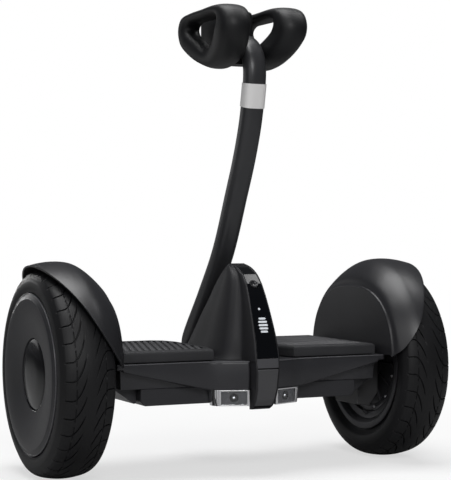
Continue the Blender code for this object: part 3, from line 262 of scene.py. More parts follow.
LOOKS = {
    "shell": surface("black_shell_plastic", (0.015, 0.015, 0.0172), 0.55, grain=1500, bump=0.1,
                     specular=0.4),
    "cover": surface("wheel_cover_plastic", (0.021, 0.021, 0.024), 0.44, grain=1400, bump=0.1),
    "cap": surface("cap_plastic", (0.0035, 0.0035, 0.0044), 0.15, bump=0.04, rough_mottle=0.03,
                   specular=0.35),
    "fender": surface("fender_plastic", (0.015, 0.015, 0.0172), 0.38, grain=1300, bump=0.08),
    "paint": surface("powder_coat", (0.028, 0.028, 0.0318), 0.38, metal=0.15, grain=2200, bump=0.18),
    "bar": surface("bar_powder_coat", (0.034, 0.0345, 0.0375), 0.36, metal=0.15, grain=2200, bump=0.14),
    "tyre": surface("tyre_rubber", (0.0064, 0.0064, 0.0074), 0.52, grain=1600, bump=0.25, mottle=0.2,
                    specular=0.3),
    "mat": surface("mat_rubber", (0.03, 0.0302, 0.0328), 0.54, grain=1800, bump=0.3, mottle=0.15,
                   specular=0.3),
    # the mat's ribs are the same rubber as the mat, made paler as painted light on their tops against the
    # shaded grooves; the rubbed rims are wear
    "rib": surface("mat_rib_rubber_painted_lit", (0.062, 0.062, 0.066), 0.48, grain=1800, bump=0.25, mottle=0.2,
                   wear=0.8),
    "rubber": surface("black_rubber", (0.054, 0.054, 0.058), 0.45, grain=1500, bump=0.2),
    "foam": surface("foam_skin", (0.0055, 0.0057, 0.0067), 0.5, grain=2600, bump=0.3, depth=0.00015,
                    mottle=0.15, specular=0.35),
    "glass": surface("gloss_black_panel", (0.0016, 0.002, 0.003), 0.13, grain=500, bump=0.01, mottle=0.1,
                     rough_mottle=0.02, specular=0.35),
    "button": surface("button_plastic", (0.02, 0.02, 0.0225), 0.2, bump=0.03),
    "tile": surface("tile_plastic", (0.068, 0.068, 0.0735), 0.34, grain=1500, bump=0.08),
    "steel": surface("ground_steel", (0.42, 0.42, 0.44), 0.32, metal=1.0, grain=700, bump=0.08,
                     mottle=0.08),
    "alloy": surface("cast_alloy", (0.2, 0.2, 0.205), 0.48, metal=0.75, bump=0.35, mottle=0.1),
    "rim": surface("rim_alloy", (0.045, 0.045, 0.049), 0.36, metal=0.6, grain=1100, mottle=0.1),
    "plate": surface("bracket_plate", (0.065, 0.065, 0.067), 0.5, metal=0.35, grain=1200, bump=0.2,
                     mottle=0.08),
    "chrome": surface("plated_bezel", (0.8, 0.8, 0.82), 0.2, metal=1.0, grain=400, bump=0.03, mottle=0.04,
                      rough_mottle=0.03),
    "reflector": surface("plated_reflector", (0.8, 0.8, 0.82), 0.12, metal=1.0, grain=400, bump=0.02,
                         mottle=0.03, rough_mottle=0.02),
    "cup": surface("lamp_cup", (0.03, 0.03, 0.033), 0.14, metal=0.5, grain=400, bump=0.02,
                   rough_mottle=0.03),
    "lamp_back": surface("lamp_back", (0.085, 0.085, 0.093), 0.45, metal=0.2),
    "lens": clear_plastic("lens_clear"),
    "label": surface("pale_band_film", (0.84, 0.83, 0.825), 0.42, bump=0.05, mottle=0.03),
    "copper": surface("copper_winding", (0.5, 0.22, 0.09), 0.35, metal=0.9, grain=1200, bump=0.3),
    "board": surface("circuit_board", (0.015, 0.09, 0.045), 0.42, bump=0.2),
    "cells": surface("cell_wrap", (0.05, 0.16, 0.32), 0.35, grain=600, bump=0.05),
    # pale plastic for thin beads on the wheel covers' rims and the fascia's top edge: its lightness is a
    # painted highlight line, not the parts' own colour
    "edge": surface("painted_highlight_bead_plastic", (0.085, 0.085, 0.092), 0.3, bump=0.05),
    "lit": lit("display_light", (0.66, 0.69, 0.73), 0.27),
}

# the nodes that have each look, where a name that starts with _ stands for the left and the right one
NODES_OF_LOOK = {
    "alloy": "bar_lock_lever steering_pillow_block",
    "bar": "knee_bar",
    "board": "battery_management_board control_board _foot_sensor_board",
    "cap": "power_button _centre_cap",
    "cells": "battery_cell_pack",
    "chrome": "_tail_lamp_bezel",
    "copper": "_motor_stator",
    "cover": "_wheel_cover",
    "fender": "_fender",
    "foam": "_knee_pad",
    "glass": "charge_port_socket display_window",
    "label": "label_band",
    "lens": "_tail_lamp_lens",
    "mat": "_foot_mat",
    "paint": "bar_socket battery_case deck_frame_casting",
    "plate": "_axle_bracket",
    "reflector": "_tail_lamp_reflector",
    "rim": "_hub_motor_shell _motor_side_cover",
    "rubber": "charge_port_cover _valve_stem",
    "shell": "central_housing lean_angle_sensor pad_bracket",
    "steel": "centring_spring front_steering_bearing rear_steering_bearing steering_shaft _axle "
             "_inner_bearing _magnet_ring _outer_bearing",
    "tile": "band_tile",
    "tyre": "_tyre",
}


def smooth_faces(mesh, degrees):
    """Smooth shading, but for edges that turn more than so many degrees."""
    mesh.shade_smooth()
    mesh.set_sharp_from_angle(angle=math.radians(degrees))


def dress_nodes():
    for look, names in NODES_OF_LOOK.items():
        for name in names.split():
            for node in [side + name for side, sign in SIDES] if name[0] == "_" else [name]:
                mesh = nodes[node].data
                mesh.materials.clear()
                mesh.materials.append(LOOKS[look])
                smooth_faces(mesh, 32)


# Mesh helpers
def piece(name, mesh, look, body, smooth=40, replaces=()):
    """A piece of the scooter that rides a body. Edges that turn more than smooth degrees stay sharp."""
    ob = bpy.data.objects.new(name, mesh)
    bpy.context.scene.collection.objects.link(ob)
    mesh.materials.append(LOOKS[look])
    smooth_faces(mesh, smooth)
    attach(ob, body)
    if replaces:
        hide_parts(*replaces)
    return ob


def sheet_mesh(name, grid, wrap="", caps=False):
    """A mesh over a grid of points (u, v, 3), wrapped along u, v or both, with flat ends where asked."""
    grid = np.asarray(grid, float)
    nu, nv = grid.shape[:2]
    index = np.arange(nu * nv).reshape(nu, nv)
    above = np.roll(index, -1, 0)
    quads = np.stack([index, above, np.roll(above, -1, 1), np.roll(index, -1, 1)], -1)
    if "u" not in wrap:
        quads = quads[:-1]
    if "v" not in wrap:
        quads = quads[:, :-1]
    faces = quads.reshape(-1, 4).tolist()
    if caps:
        faces += [index[0].tolist(), index[-1][::-1].tolist()]
    mesh = bpy.data.meshes.new(name)
    mesh.from_pydata([tuple(p) for p in grid.reshape(-1, 3)], [], faces)
    close_mesh(mesh)
    mesh.update()
    return mesh


def close_mesh(mesh, fill=False):
    """Faces turned outwards, and open holes filled where asked."""
    bm = bmesh.new()
    bm.from_mesh(mesh)
    if fill:
        bmesh.ops.holes_fill(bm, edges=[e for e in bm.edges if e.is_boundary])
    bmesh.ops.recalc_face_normals(bm, faces=bm.faces)
    bm.to_mesh(mesh)
    bm.free()


def sheet_piece(name, grid, look, body, smooth, replaces=(), wrap="", caps=False):
    return piece(name, sheet_mesh(name, grid, wrap, caps), look, body, smooth, replaces)


def table(points, value):
    """The value between a few (from, to) pairs."""
    return float(np.interp(value, [p[0] for p in points], [p[1] for p in points]))


def smooth_path(points, per_span, closed=False):
    """Catmull-Rom curve through a few points of any dimension."""
    pts = [np.asarray(p, float) for p in points]
    count = len(pts)
    spans = count if closed else count - 1
    out = []
    for i in range(spans):
        quad = []
        for k in (-1, 0, 1, 2):
            j = (i + k) % count if closed else min(max(i + k, 0), count - 1)
            quad.append(pts[j])
        a, b, c, d = quad
        for s in range(per_span):
            t = s / per_span
            out.append(0.5 * (2 * b + (c - a) * t + (2 * a - 5 * b + 4 * c - d) * t * t
                              + (3 * b - a - 3 * c + d) * t ** 3))
    if not closed:
        out.append(pts[-1])
    return np.array(out)


def smooth_table(points, per_span=8):
    return [tuple(p) for p in smooth_path(points, per_span)]


def even(points, count):
    """The same line with points spaced evenly along it."""
    pts = np.asarray(points, float)
    steps = np.r_[0, np.cumsum(np.linalg.norm(np.diff(pts, axis=0), axis=1))]
    where = np.linspace(0, steps[-1], count)
    return np.stack([np.interp(where, steps, pts[:, k]) for k in range(pts.shape[1])], 1)


def around(sign, r, h, angle):
    """From radius, height outwards from the tyre's middle and angle from forward, to the row frame."""
    return np.stack([sign * (TRACK_HALF + h), r * np.cos(angle), WHEEL_R + r * np.sin(angle)], -1)


def lathe(name, sign, profile, steps, look, body, smooth, replaces=()):
    """A closed profile of radii and heights, turned round a wheel's axle."""
    pts = np.asarray(profile, float)
    angle = np.arange(steps) * math.tau / steps
    grid = around(sign, *np.broadcast_arrays(pts[:, :1], pts[:, 1:], angle))
    return sheet_piece(name, grid, look, body, smooth, replaces, wrap="uv")


def round_corner(profile, radius, count=3):
    """A closed profile with each corner turned into a short arc."""
    pts = [np.asarray(p, float) for p in profile]
    out = []
    for i, p in enumerate(pts):
        a = pts[i - 1] - p
        b = pts[(i + 1) % len(pts)] - p
        la, lb = np.linalg.norm(a), np.linalg.norm(b)
        cut = min(radius, la * 0.45, lb * 0.45)
        s = p + a / la * cut
        e = p + b / lb * cut
        for k in range(count + 1):
            t = k / count
            out.append((1 - t) ** 2 * s + 2 * t * (1 - t) * p + t * t * e)
    return np.array(out)


def solid_from_bm(name, bm, look, body, smooth=40, replaces=()):
    bmesh.ops.recalc_face_normals(bm, faces=bm.faces)
    mesh = bpy.data.meshes.new(name)
    bm.to_mesh(mesh)
    bm.free()
    return piece(name, mesh, look, body, smooth, replaces)


def join_bm(target, source):
    """Adds the source to the target and frees it."""
    mesh = bpy.data.meshes.new("part")
    source.to_mesh(mesh)
    source.free()
    target.from_mesh(mesh)
    bpy.data.meshes.remove(mesh)


def move_bm(bm, matrix):
    bmesh.ops.transform(bm, verts=bm.verts, matrix=matrix)
    return bm


def loft_bm(rings):
    """A closed solid through rings of points, with flat ends."""
    bm = bmesh.new()
    layers = [[bm.verts.new(p) for p in ring] for ring in rings]
    for low, high in zip(layers, layers[1:]):
        for k in range(len(low)):
            j = (k + 1) % len(low)
            bm.faces.new([low[k], low[j], high[j], high[k]])
    bm.faces.new(layers[0][::-1])
    bm.faces.new(layers[-1])
    return bm


def rod_bm(a, b, radius, steps):
    bm = bmesh.new()
    bmesh.ops.create_cone(bm, cap_ends=True, segments=steps, radius1=radius, radius2=radius,
                          depth=(b - a).length)
    turn = (b - a).to_track_quat("Z", "Y").to_matrix().to_4x4()
    return move_bm(bm, Matrix.Translation((a + b) / 2) @ turn)


def block_bm(x0, x1, y0, y1, z0, z1):
    bm = bmesh.new()
    bmesh.ops.create_cube(bm, size=1.0)
    bmesh.ops.scale(bm, verts=bm.verts, vec=(x1 - x0, y1 - y0, z1 - z0))
    bmesh.ops.translate(bm, verts=bm.verts, vec=((x0 + x1) / 2, (y0 + y1) / 2, (z0 + z1) / 2))
    return bm


def prism_bm(outline, z0, z1, bevel=0.0, segments=2):
    """An upright prism, with the edges of its top bevelled where asked."""
    bm = bmesh.new()
    face = bm.faces.new([bm.verts.new((x, y, z0)) for x, y in outline])
    grown = bmesh.ops.extrude_face_region(bm, geom=[face])
    moved = [v for v in grown["geom"] if isinstance(v, bmesh.types.BMVert)]
    bmesh.ops.translate(bm, verts=moved, vec=(0, 0, z1 - z0))
    bmesh.ops.recalc_face_normals(bm, faces=bm.faces)
    if bevel:
        top = [e for e in bm.edges if all(abs(v.co.z - z1) < 1e-7 for v in e.verts)]
        bmesh.ops.bevel(bm, geom=top, offset=bevel, segments=segments, profile=0.5, affect="EDGES")
    return bm


def apply_boolean(ob, bm, operation="DIFFERENCE"):
    """Cuts bm out of a piece, or joins it to the piece, in the piece's own mesh."""
    bmesh.ops.recalc_face_normals(bm, faces=bm.faces)
    mesh = bpy.data.meshes.new("tool")
    bm.to_mesh(mesh)
    bm.free()
    tool = bpy.data.objects.new("tool", mesh)
    bpy.context.scene.collection.objects.link(tool)
    mod = ob.modifiers.new("cut", "BOOLEAN")
    mod.operation = operation
    mod.solver = "EXACT"
    mod.object = tool
    bpy.context.view_layer.update()
    deps = bpy.context.evaluated_depsgraph_get()
    done = bpy.data.meshes.new_from_object(ob.evaluated_get(deps), depsgraph=deps)
    ob.modifiers.clear()
    old = ob.data
    ob.data = done
    bpy.data.meshes.remove(old)
    bpy.data.objects.remove(tool)


# Wheels
# the tread's pattern, along the tyre in repeats and across it as heights from the middle
REPEATS = 35
PHASES = [0.0, 0.02, 0.066, 0.086, 0.2, 0.32, 0.44, 0.56, 0.68, 0.8, 0.9]
CUT_PHASES = (0.015, 0.07)
BROKEN_PHASES = (0.44, 0.75)
SHOULDER = 0.0308
CENTRE = 0.0056
GROOVE = 0.0186
GROOVE_HALF = 0.0007
RISE = 1.35
RISE_POWER = 1.9
MIDDLE_SLOPE = 0.55
WIDEN_MOST = 2.6
CUT_DEPTH = 0.0024
GROOVE_DEPTH = 0.0013
TREAD_EDGE_R = 0.1165
TYRE_HALF = 0.0355


def clamped(value):
    """The value kept between 0 and 1."""
    return min(max(value, 0.0), 1.0)


def tread_slant(h):
    """How far, in repeats of the pattern, a cut has risen at height h, from the outer shoulder inwards."""
    reach = GROOVE - CENTRE + 0.005
    if h >= CENTRE:
        return RISE * clamped((GROOVE + 0.005 - h) / reach) ** RISE_POWER
    slope = RISE * RISE_POWER / reach
    middle = RISE + slope * (CENTRE - max(h, -CENTRE)) * MIDDLE_SLOPE
    if h >= -CENTRE:
        return middle
    return middle + RISE * (1 - (1 - min((-CENTRE - h) / reach, 1)) ** RISE_POWER)


def tread_widen(h):
    """How much wider a cut is round the tyre where it climbs, so that it keeps its width across itself."""
    step = 0.0004
    climb = (tread_slant(h - step) - tread_slant(h + step)) / (2 * step) * math.tau * WHEEL_R / REPEATS
    return min(math.hypot(1, climb), WIDEN_MOST)


def tread_depth(h, phase):
    """Depth of the cuts and of the grooves round the tyre, at height h and at a phase of the pattern."""
    a = abs(h)
    deep = 0.0
    if CUT_PHASES[0] <= phase <= CUT_PHASES[1]:
        deep = CUT_DEPTH * clamped((a - CENTRE) / 0.0035) * clamped((SHOULDER + 0.0012 - a) / 0.0014)
    if abs(a - GROOVE) < GROOVE_HALF and not BROKEN_PHASES[0] < phase < BROKEN_PHASES[1]:
        deep = max(deep, GROOVE_DEPTH)
    return deep


def tyre_line():
    """Radii and heights round the tyre's section, from its inner bead over the crown to the outer one."""
    flange = FLANGE_R + 0.0006
    crown = [(flange - 0.01, 0.0262), (flange, 0.0268), (0.1, 0.0314), (0.1022, 0.0337), (0.105, 0.035),
             (0.11, TYRE_HALF), (TREAD_EDGE_R, 0.0346), (0.1215, 0.0324), (0.1242, 0.0305), (0.1266, 0.0268),
             (0.1285, 0.021), (0.1298, 0.014), (0.1307, 0.007), (WHEEL_R, 0.0)]
    upper = smooth_path(crown, 24)[::-1]
    crest = upper[: int(np.argmax(upper[:, 1])) + 1]
    heights = list(np.linspace(0.0, 0.017, 15)) + [0.0178, 0.0181, 0.0191, 0.0194] \
        + list(np.linspace(0.0205, 0.0296, 8)) + [0.0302, 0.0308, 0.0314, 0.032, 0.0327, 0.0336, 0.0344]
    rows = []
    for h in heights:
        low = 0.0007 * clamped((h - SHOULDER) / 0.0008)
        rows.append((float(np.interp(h, crest[:, 1], crest[:, 0])) - low, h))
    wall = even([p for p in upper if p[0] < rows[-1][0] - 0.0006], 18)
    rows += [(r, min(h, TYRE_HALF)) for r, h in wall]
    rows += [(0.0823, 0.0262), (0.0823, 0.0165), (0.0985, 0.0275), (0.1232, 0.013)]
    return np.array(rows[::-1] + [(r, -h) for r, h in rows[1:]])


def tyre(side, sign):
    line = tyre_line()
    tangent = np.gradient(line, axis=0)
    normal = np.stack([-tangent[:, 1], tangent[:, 0]], 1)
    normal /= np.linalg.norm(normal, axis=1)[:, None]
    rubber_middle = np.array([0.112, 0.0])
    normal *= np.sign(np.sum(normal * (line - rubber_middle), axis=1))[:, None]
    columns = [(k + p, p) for k in range(REPEATS) for p in PHASES]
    cut = PHASES[3]
    grid = np.zeros((len(line), len(columns), 3))
    for i, (r, h) in enumerate(line):
        on_tread = r > TREAD_EDGE_R and 3 < i < len(line) - 4
        depth = np.array([tread_depth(h, p) if on_tread else 0.0 for k, p in columns])
        wide = cut * (tread_widen(h) if on_tread else 1.0)
        turn = np.array([k - p + float(np.interp(p, [0, cut, 1], [0, wide, 1])) for k, p in columns])
        angle = (turn - (wide - cut) / 2 + tread_slant(h)) * math.tau / REPEATS
        # the cuts rise towards the middle on the wheel's rear
        grid[i] = around(sign, r - normal[i, 0] * depth, h - normal[i, 1] * depth, math.pi - angle)
    sheet_piece(side + "_tyre_tread", grid, "tyre", side + "_wheel", 32, [side + "_tyre"],
                wrap="uv")


WEB_H = 0.0245
LID_FACE_H = -0.0172
LID_RIBS = 12


def side_place(sign, r, h, angle):
    return Vector((sign * (TRACK_HALF + h), r * math.cos(angle), WHEEL_R + r * math.sin(angle)))


def wheel_cover(side, sign):
    """The outer cover with a pale bead at its rim, painted as the rim's thin highlight, and the cap in its
    middle.
    """
    body = side + "_wheel"
    back = WEB_H + GAP
    face = smooth_table([(CAP_R + 0.0012, 0.0303), (0.056, 0.0322), (0.074, 0.0358), (0.087, 0.0376),
                         (0.0938, 0.0378)])
    cover = [(COVER_R, 0.0325), (FLANGE_R, FLANGE_H + GAP), (0.0828, FLANGE_H + GAP), (0.0772, back),
             (CAP_R + 0.0006, back), (CAP_R + 0.0006, 0.0297)]
    edge = [(0.0943, 0.0377), (0.0948, 0.0373), (0.0996, 0.0358), (0.1003, 0.0355), (0.1007, 0.0356)]
    lathe(side + "_cover_dish", sign, cover + face + edge, 128, "cover", body, 30,
          [side + "_wheel_cover"])
    # a pale bead round the cover's rim: a painted highlight along the rim
    rim = [(0.1008 + 0.00055 * math.cos(a), 0.0352 + 0.0008 * math.sin(a))
           for a in np.linspace(-0.6, math.pi - 0.2, 8)] + [(0.1004, 0.0335), (0.101, 0.0335)]
    lathe(side + "_cover_highlight_bead", sign, rim, 128, "edge", body, 50)
    dome = smooth_table([(0.0002, 0.0338), (0.022, 0.0331), (0.039, 0.0306), (0.044, 0.0289)], 6)
    cap = [(0.0002, back)] + dome + [(CAP_R, 0.0282), (CAP_R, back)]
    lathe(side + "_cap_dome", sign, cap, 96, "cap", body, 40, [side + "_centre_cap"])


def hub(side, sign):
    """The rim and motor shell, and the motor's side cover with its ribs and screws."""
    body = side + "_wheel"
    shell = [(FLANGE_R, FLANGE_H), (FLANGE_R, FLANGE_H - 0.003), (0.0865, 0.0265), (BEAD_R, 0.024),
             (BEAD_R, -0.024), (0.0865, -0.0265), (FLANGE_R, 0.003 - FLANGE_H), (FLANGE_R, -FLANGE_H),
             (0.086, -FLANGE_H), (0.0815, -0.0262), (0.079, -0.0232), (0.0712, -0.0222),
             (MOTOR_BORE_R, -0.0212), (MOTOR_BORE_R, MOTOR_HALF), (0.0135, MOTOR_HALF), (0.0135, WEB_H),
             (0.079, WEB_H), (0.085, FLANGE_H)]
    lathe(side + "_rim_and_shell", sign, round_corner(shell, 0.0008, 2), 112, "rim", body, 40,
          [side + "_hub_motor_shell"])
    lid_r = MOTOR_BORE_R - GAP
    lid = [(0.017, -0.0125), (lid_r, -0.013), (lid_r, -0.0186), (0.066, -0.019), (0.0632, -0.0182),
           (0.06, -0.0165), (0.033, -0.016), (0.027, -0.0172), (0.0217, -0.0206), (0.017, -0.0206)]
    lathe(side + "_motor_lid", sign, round_corner(lid, 0.0006, 2), 96, "rim", body, 40,
          [side + "_motor_side_cover"])
    ribs = bmesh.new()
    screws = bmesh.new()
    for k in range(LID_RIBS):
        rib = block_bm(-0.0017, 0.0017, 0.0305, 0.0605, -0.0012, 0.0012)
        bmesh.ops.bevel(rib, geom=rib.edges[:], offset=0.0006, segments=2, affect="EDGES")
        turn = Matrix.Rotation(math.tau * k / LID_RIBS, 4, "X")
        join_bm(ribs, move_bm(rib, Matrix.Translation(side_place(sign, 0, LID_FACE_H, 0)) @ turn))
        place = side_place(sign, 0.0645, -0.019, math.tau * (k + 0.5) / LID_RIBS)
        join_bm(screws, screw_head(place, (-sign, 0, 0), 0.0021, 0.0012))
    solid_from_bm(side + "_lid_ribs", ribs, "rim", body)
    solid_from_bm(side + "_lid_screws", screws, "steel", body)


def screw_head(place, direction, radius, height):
    """A button-head screw with a hexagon socket, standing on place."""
    turns = [math.tau * k / 18 for k in range(18)]
    outside = [(radius, 0.0), (radius, height * 0.45), (radius * 0.82, height * 0.85),
               (radius * 0.55, height)]
    rings = [[(r * math.cos(a), r * math.sin(a), z) for a in turns] for r, z in outside]
    hexagon = []
    for a in turns:
        flat = radius * 0.48 * math.cos(math.pi / 6) / math.cos((a % (math.pi / 3)) - math.pi / 6)
        hexagon.append((flat * math.cos(a), flat * math.sin(a)))
    rings += [[(x, y, z) for x, y in hexagon] for z in (height, height * 0.35)]
    turn = Vector(direction).to_track_quat("Z", "Y").to_matrix().to_4x4()
    return move_bm(loft_bm(rings), Matrix.Translation(place) @ turn)


# Fenders
FENDER_R = 0.1405
FENDER_END_ANGLE = 0.129
FENDER_WALL = 0.0022
PANEL_TALL = 0.103
PANEL_REAR = 0.109
PANEL_FRONT = 0.107
PANEL_POWER = 2.5
PANEL_BULGE = 0.0035
# how far out the lip reaches at a height
LIP = smooth_table([(0.146, 0.1892), (0.156, 0.199), (0.1712, 0.2098), (0.1918, 0.2232), (0.2238, 0.241),
                    (0.25, 0.258), (0.272, 0.274)])


def panel_edge(angle):
    """Reach of the oval side panel from the wheel's axis. Its sides end upright at the deck."""
    across = PANEL_REAR if math.cos(angle) < 0 else PANEL_FRONT
    total = abs(math.cos(angle) / across) ** PANEL_POWER + abs(math.sin(angle) / PANEL_TALL) ** PANEL_POWER
    return total ** (-1 / PANEL_POWER)


def panel_bulge(y, z):
    """The side panel is a shallow dome, flat at its edge."""
    away = math.hypot(y, z - WHEEL_R) / (panel_edge(math.atan2(z - WHEEL_R, y)) - 0.0015)
    return PANEL_BULGE * max(1 - away ** 2, 0.0)


def fender_run(angle):
    """Radius and x from the edge of the oval side panel, over the shoulder to the outer lip."""
    panel = panel_edge(angle)
    rise = FENDER_R - panel
    edge = smooth_path([(panel - 0.0015, FENDER_X), (panel, FENDER_X + 0.0001),
                        (panel + 0.0008, FENDER_X + 0.0005), (panel + 0.0012, FENDER_X + 0.0009)], 4)
    flare = smooth_path([(panel + 0.002, 0.1902), (panel + 0.12 * rise, 0.1912),
                         (panel + 0.34 * rise, 0.1948), (panel + 0.58 * rise, 0.2026),
                         (panel + 0.8 * rise, 0.212), (panel + 0.95 * rise, 0.222),
                         (FENDER_R, 0.233), (FENDER_R, 0.245), (0.139, 0.257), (0.1362, 0.2695)], 10)
    return np.concatenate([edge, flare])


def cut_at_lip(run, angle):
    """The run as far as the line of the lip."""
    kept = [run[0]]
    for a, b in zip(run, run[1:]):
        over = [p[1] - table(LIP, WHEEL_R + p[0] * math.sin(angle)) for p in (a, b)]
        if over[1] > 0 >= over[0]:
            kept.append(a + (b - a) * over[0] / (over[0] - over[1]))
            break
        kept.append(b)
    return np.array(kept)


def wall(ob, thickness, near, outwards):
    """Gives an open skin a wall behind its outer face, which looks outwards near a place."""
    middle = min(ob.data.polygons, key=lambda p: (p.center - Vector(near)).length)
    if middle.normal.dot(Vector(outwards)) < 0:
        ob.data.flip_normals()
    thick = ob.modifiers.new("wall", "SOLIDIFY")
    thick.thickness = thickness
    thick.offset = -1.0


def bevel_edges(ob, width, degrees):
    edge = ob.modifiers.new("edge", "BEVEL")
    edge.width = width
    edge.segments = 2
    edge.limit_method = "ANGLE"
    edge.angle_limit = math.radians(degrees)


def fender(side, sign):
    samples = 600
    along = np.linspace(0, 1, 60)
    picked = np.round((samples - 1) * (0.25 * along + 0.75 * along ** 2)).astype(int)
    grid = []
    for angle in np.linspace(FENDER_END_ANGLE, math.pi - FENDER_END_ANGLE, 120):
        line = even(cut_at_lip(fender_run(angle), angle), samples)[picked]
        row = [(sign * x, r * math.cos(angle), WHEEL_R + r * math.sin(angle)) for r, x in line]
        top = np.array(row[0])
        foot = np.array((row[0][0], row[0][1], min(DECK_Z + GAP, row[0][2] - 0.0006)))
        flat = [foot + (top - foot) * t for t in np.linspace(0, 0.97, 14)]
        grid.append([(x - sign * panel_bulge(y, z), y, z) for x, y, z in flat] + row)
    ob = sheet_piece(side + "_fender_shell", grid, "fender", "base", 50, [side + "_fender"])
    wall(ob, FENDER_WALL, (sign * FENDER_X, 0, 0.2), (-sign, 0, 0))
    bevel_edges(ob, 0.0007, 50)


# Housing
REAR = [(0.085, -0.101), (0.0885, -0.1075), (0.098, -0.115), (0.112, -0.1205), (0.135, -0.1235),
        (0.153, -0.1205), (0.173, -0.1155), (0.192, -0.108), (0.208, -0.101), (0.228, -0.091),
        (0.243, -0.082), (0.2545, -0.07), (0.263, -0.052), (0.2672, -0.033)]
FRONT = [(0.1468, 0.09), (0.156, 0.085), (0.174, 0.069), (0.198, 0.0475), (0.221, 0.0255),
         (0.244, 0.005), (0.256, -0.0085), (0.2635, -0.0195), (0.267, -0.0275), (0.268, -0.033)]
WIDE = [(0.1468, 0.0485), (0.154, 0.0445), (0.174, 0.0395), (0.198, 0.0345), (0.221, 0.0295),
        (0.244, 0.024), (0.258, 0.019), (0.265, 0.0145), (0.268, 0.01)]
BAND = [(0.085, 0.0138), (0.095, 0.0155), (0.153, 0.017), (0.208, 0.0142), (0.2545, 0.0108),
        (0.268, 0.0085)]
GLASS = [(0.085, 0.012), (0.153, 0.015), (0.208, 0.0122), (0.2545, 0.0088), (0.268, 0.0065)]
REAR_FINE = smooth_table(REAR)
FRONT_FINE = smooth_table(FRONT)
WIDE_FINE = smooth_table(WIDE)
BAND_FINE = smooth_table(BAND)


BAND_END_Z = 0.085
COLUMN_TOP_Z = 0.156
GROOVE_START_Z = 0.087
BUTTON_Z = 0.2425
BUTTON_BORE_R = 0.0061
PORT_Z = 0.114
PORT_BORE_R = 0.0095
PORT_BORE_Y = (-0.14, -0.1005)


def rear_run(z0, z1):
    """Points (y, z) up the rear centre line with outward normals, on the same straight runs as the solids."""
    slopes = []
    for i, (z, y) in enumerate(REAR):
        below = REAR[max(i - 1, 0)]
        above = REAR[min(i + 1, len(REAR) - 1)]
        slopes.append((z, (above[1] - below[1]) / (above[0] - below[0])))
    stops = [z0] + [z for z, y in REAR if z0 + 0.001 < z < z1 - 0.001] + [z1]
    heights = []
    for a, b in zip(stops, stops[1:]):
        heights += [a + (b - a) * k / 4 for k in range(4)]
    heights.append(z1)
    return [(table(REAR, z), z, Vector((0, -1, table(slopes, z))).normalized()) for z in heights]


def rear_place(z, x=0.0, lift=0.0):
    """A point of the rear face, lifted off it, and the face's normal there."""
    y, z, normal = rear_run(z, z + 0.001)[0]
    return Vector((x, y, z)) + normal * lift, normal


def hump_outline(z):
    """The housing's outline at a height: a rounded front, full sides, and a valley beside the column."""
    front = table(FRONT_FINE, z)
    back = table(REAR_FINE, z)
    rear = table(REAR, z)
    wide = table(WIDE_FINE, z)
    band = table(BAND_FINE, z)
    length = front - back
    # the valley fades out towards the top
    deep = clamped((HUMP_TOP_Z - z) / 0.045)
    side = [(0.0, front), (0.18 * wide, front - 0.003 * length), (0.35 * wide, front - 0.015 * length),
            (0.62 * wide, front - 0.09 * length), (0.82 * wide, front - 0.24 * length),
            (0.93 * wide, front - 0.45 * length), (wide, front - 0.6 * length),
            (max(band + 0.002 + 0.004 * deep, 0.93 * wide), back + 0.27 * length),
            (max(band + 0.0015 + 0.003 * deep, 0.76 * wide), back + 0.205 * length),
            (band + 0.0012 + 0.0034 * deep, back + 0.172 * length),
            (band + 0.001 + 0.0008 * deep, back + 0.145 * length),
            (band + 0.001, back + 0.1 * length), (band + 0.0009, back + 0.05 * length)]
    edge = [(band + 0.0006, rear + 0.022 * length), (band - 0.0001, rear + 0.006 * length),
            (band - 0.0012, rear)]
    half = smooth_table(side, 6) + edge
    return half + [(-x, y) for x, y in reversed(half[1:])]


def column_bm():
    """The column below the deck and its foot in the dome, a hair inside the dome where the two overlap."""
    rings = []
    for y, z, normal in rear_run(BAND_END_Z, COLUMN_TOP_Z):
        inside = z > DECK_Z
        half = table(BAND, z) - (0.0004 if inside else 0.0)
        rear = y + (0.0006 if inside else 0.0)
        right = [(half - 0.0016, rear), (half - 0.0004, rear + 0.001), (half, y + 0.005),
                 (half, COLUMN_FRONT_Y)]
        rings.append([(x, yy, z) for x, yy in right + [(-x, yy) for x, yy in reversed(right)]])
    return loft_bm(rings)


def band_groove_bm():
    """The groove down the rear that the tile, the port's cover and the glass lie in."""
    rings = []
    for y, z, normal in rear_run(GROOVE_START_Z, HUMP_TOP_Z - 0.003):
        half = table(GLASS, z) + GAP
        a = Vector((0, y, z)) + normal * 0.01
        b = Vector((0, y, z)) - normal * (BAND_DEPTH + GAP)
        rings.append([(-half, a.y, a.z), (half, a.y, a.z), (half, b.y, b.z), (-half, b.y, b.z)])
    return loft_bm(rings)


def housing():
    low = DECK_Z + GAP
    levels = low + (HUMP_TOP_Z - GAP - low) * np.sin(np.linspace(0, 1, 90) * math.pi / 2)
    grid = [[(x, y, z) for x, y in hump_outline(z)] for z in levels]
    ob = sheet_piece("housing_dome", grid, "shell", "base", 40, ["central_housing"],
                     wrap="v", caps=True)
    apply_boolean(ob, column_bm(), "UNION")
    apply_boolean(ob, band_groove_bm())
    point, normal = rear_place(BUTTON_Z)
    apply_boolean(ob, rod_bm(point + normal * 0.01, point - normal * 0.0062, BUTTON_BORE_R, 32))
    port = [Vector((0, y, PORT_Z)) for y in PORT_BORE_Y]
    apply_boolean(ob, rod_bm(port[0], port[1], PORT_BORE_R, 32))
    smooth_faces(ob.data, 28)


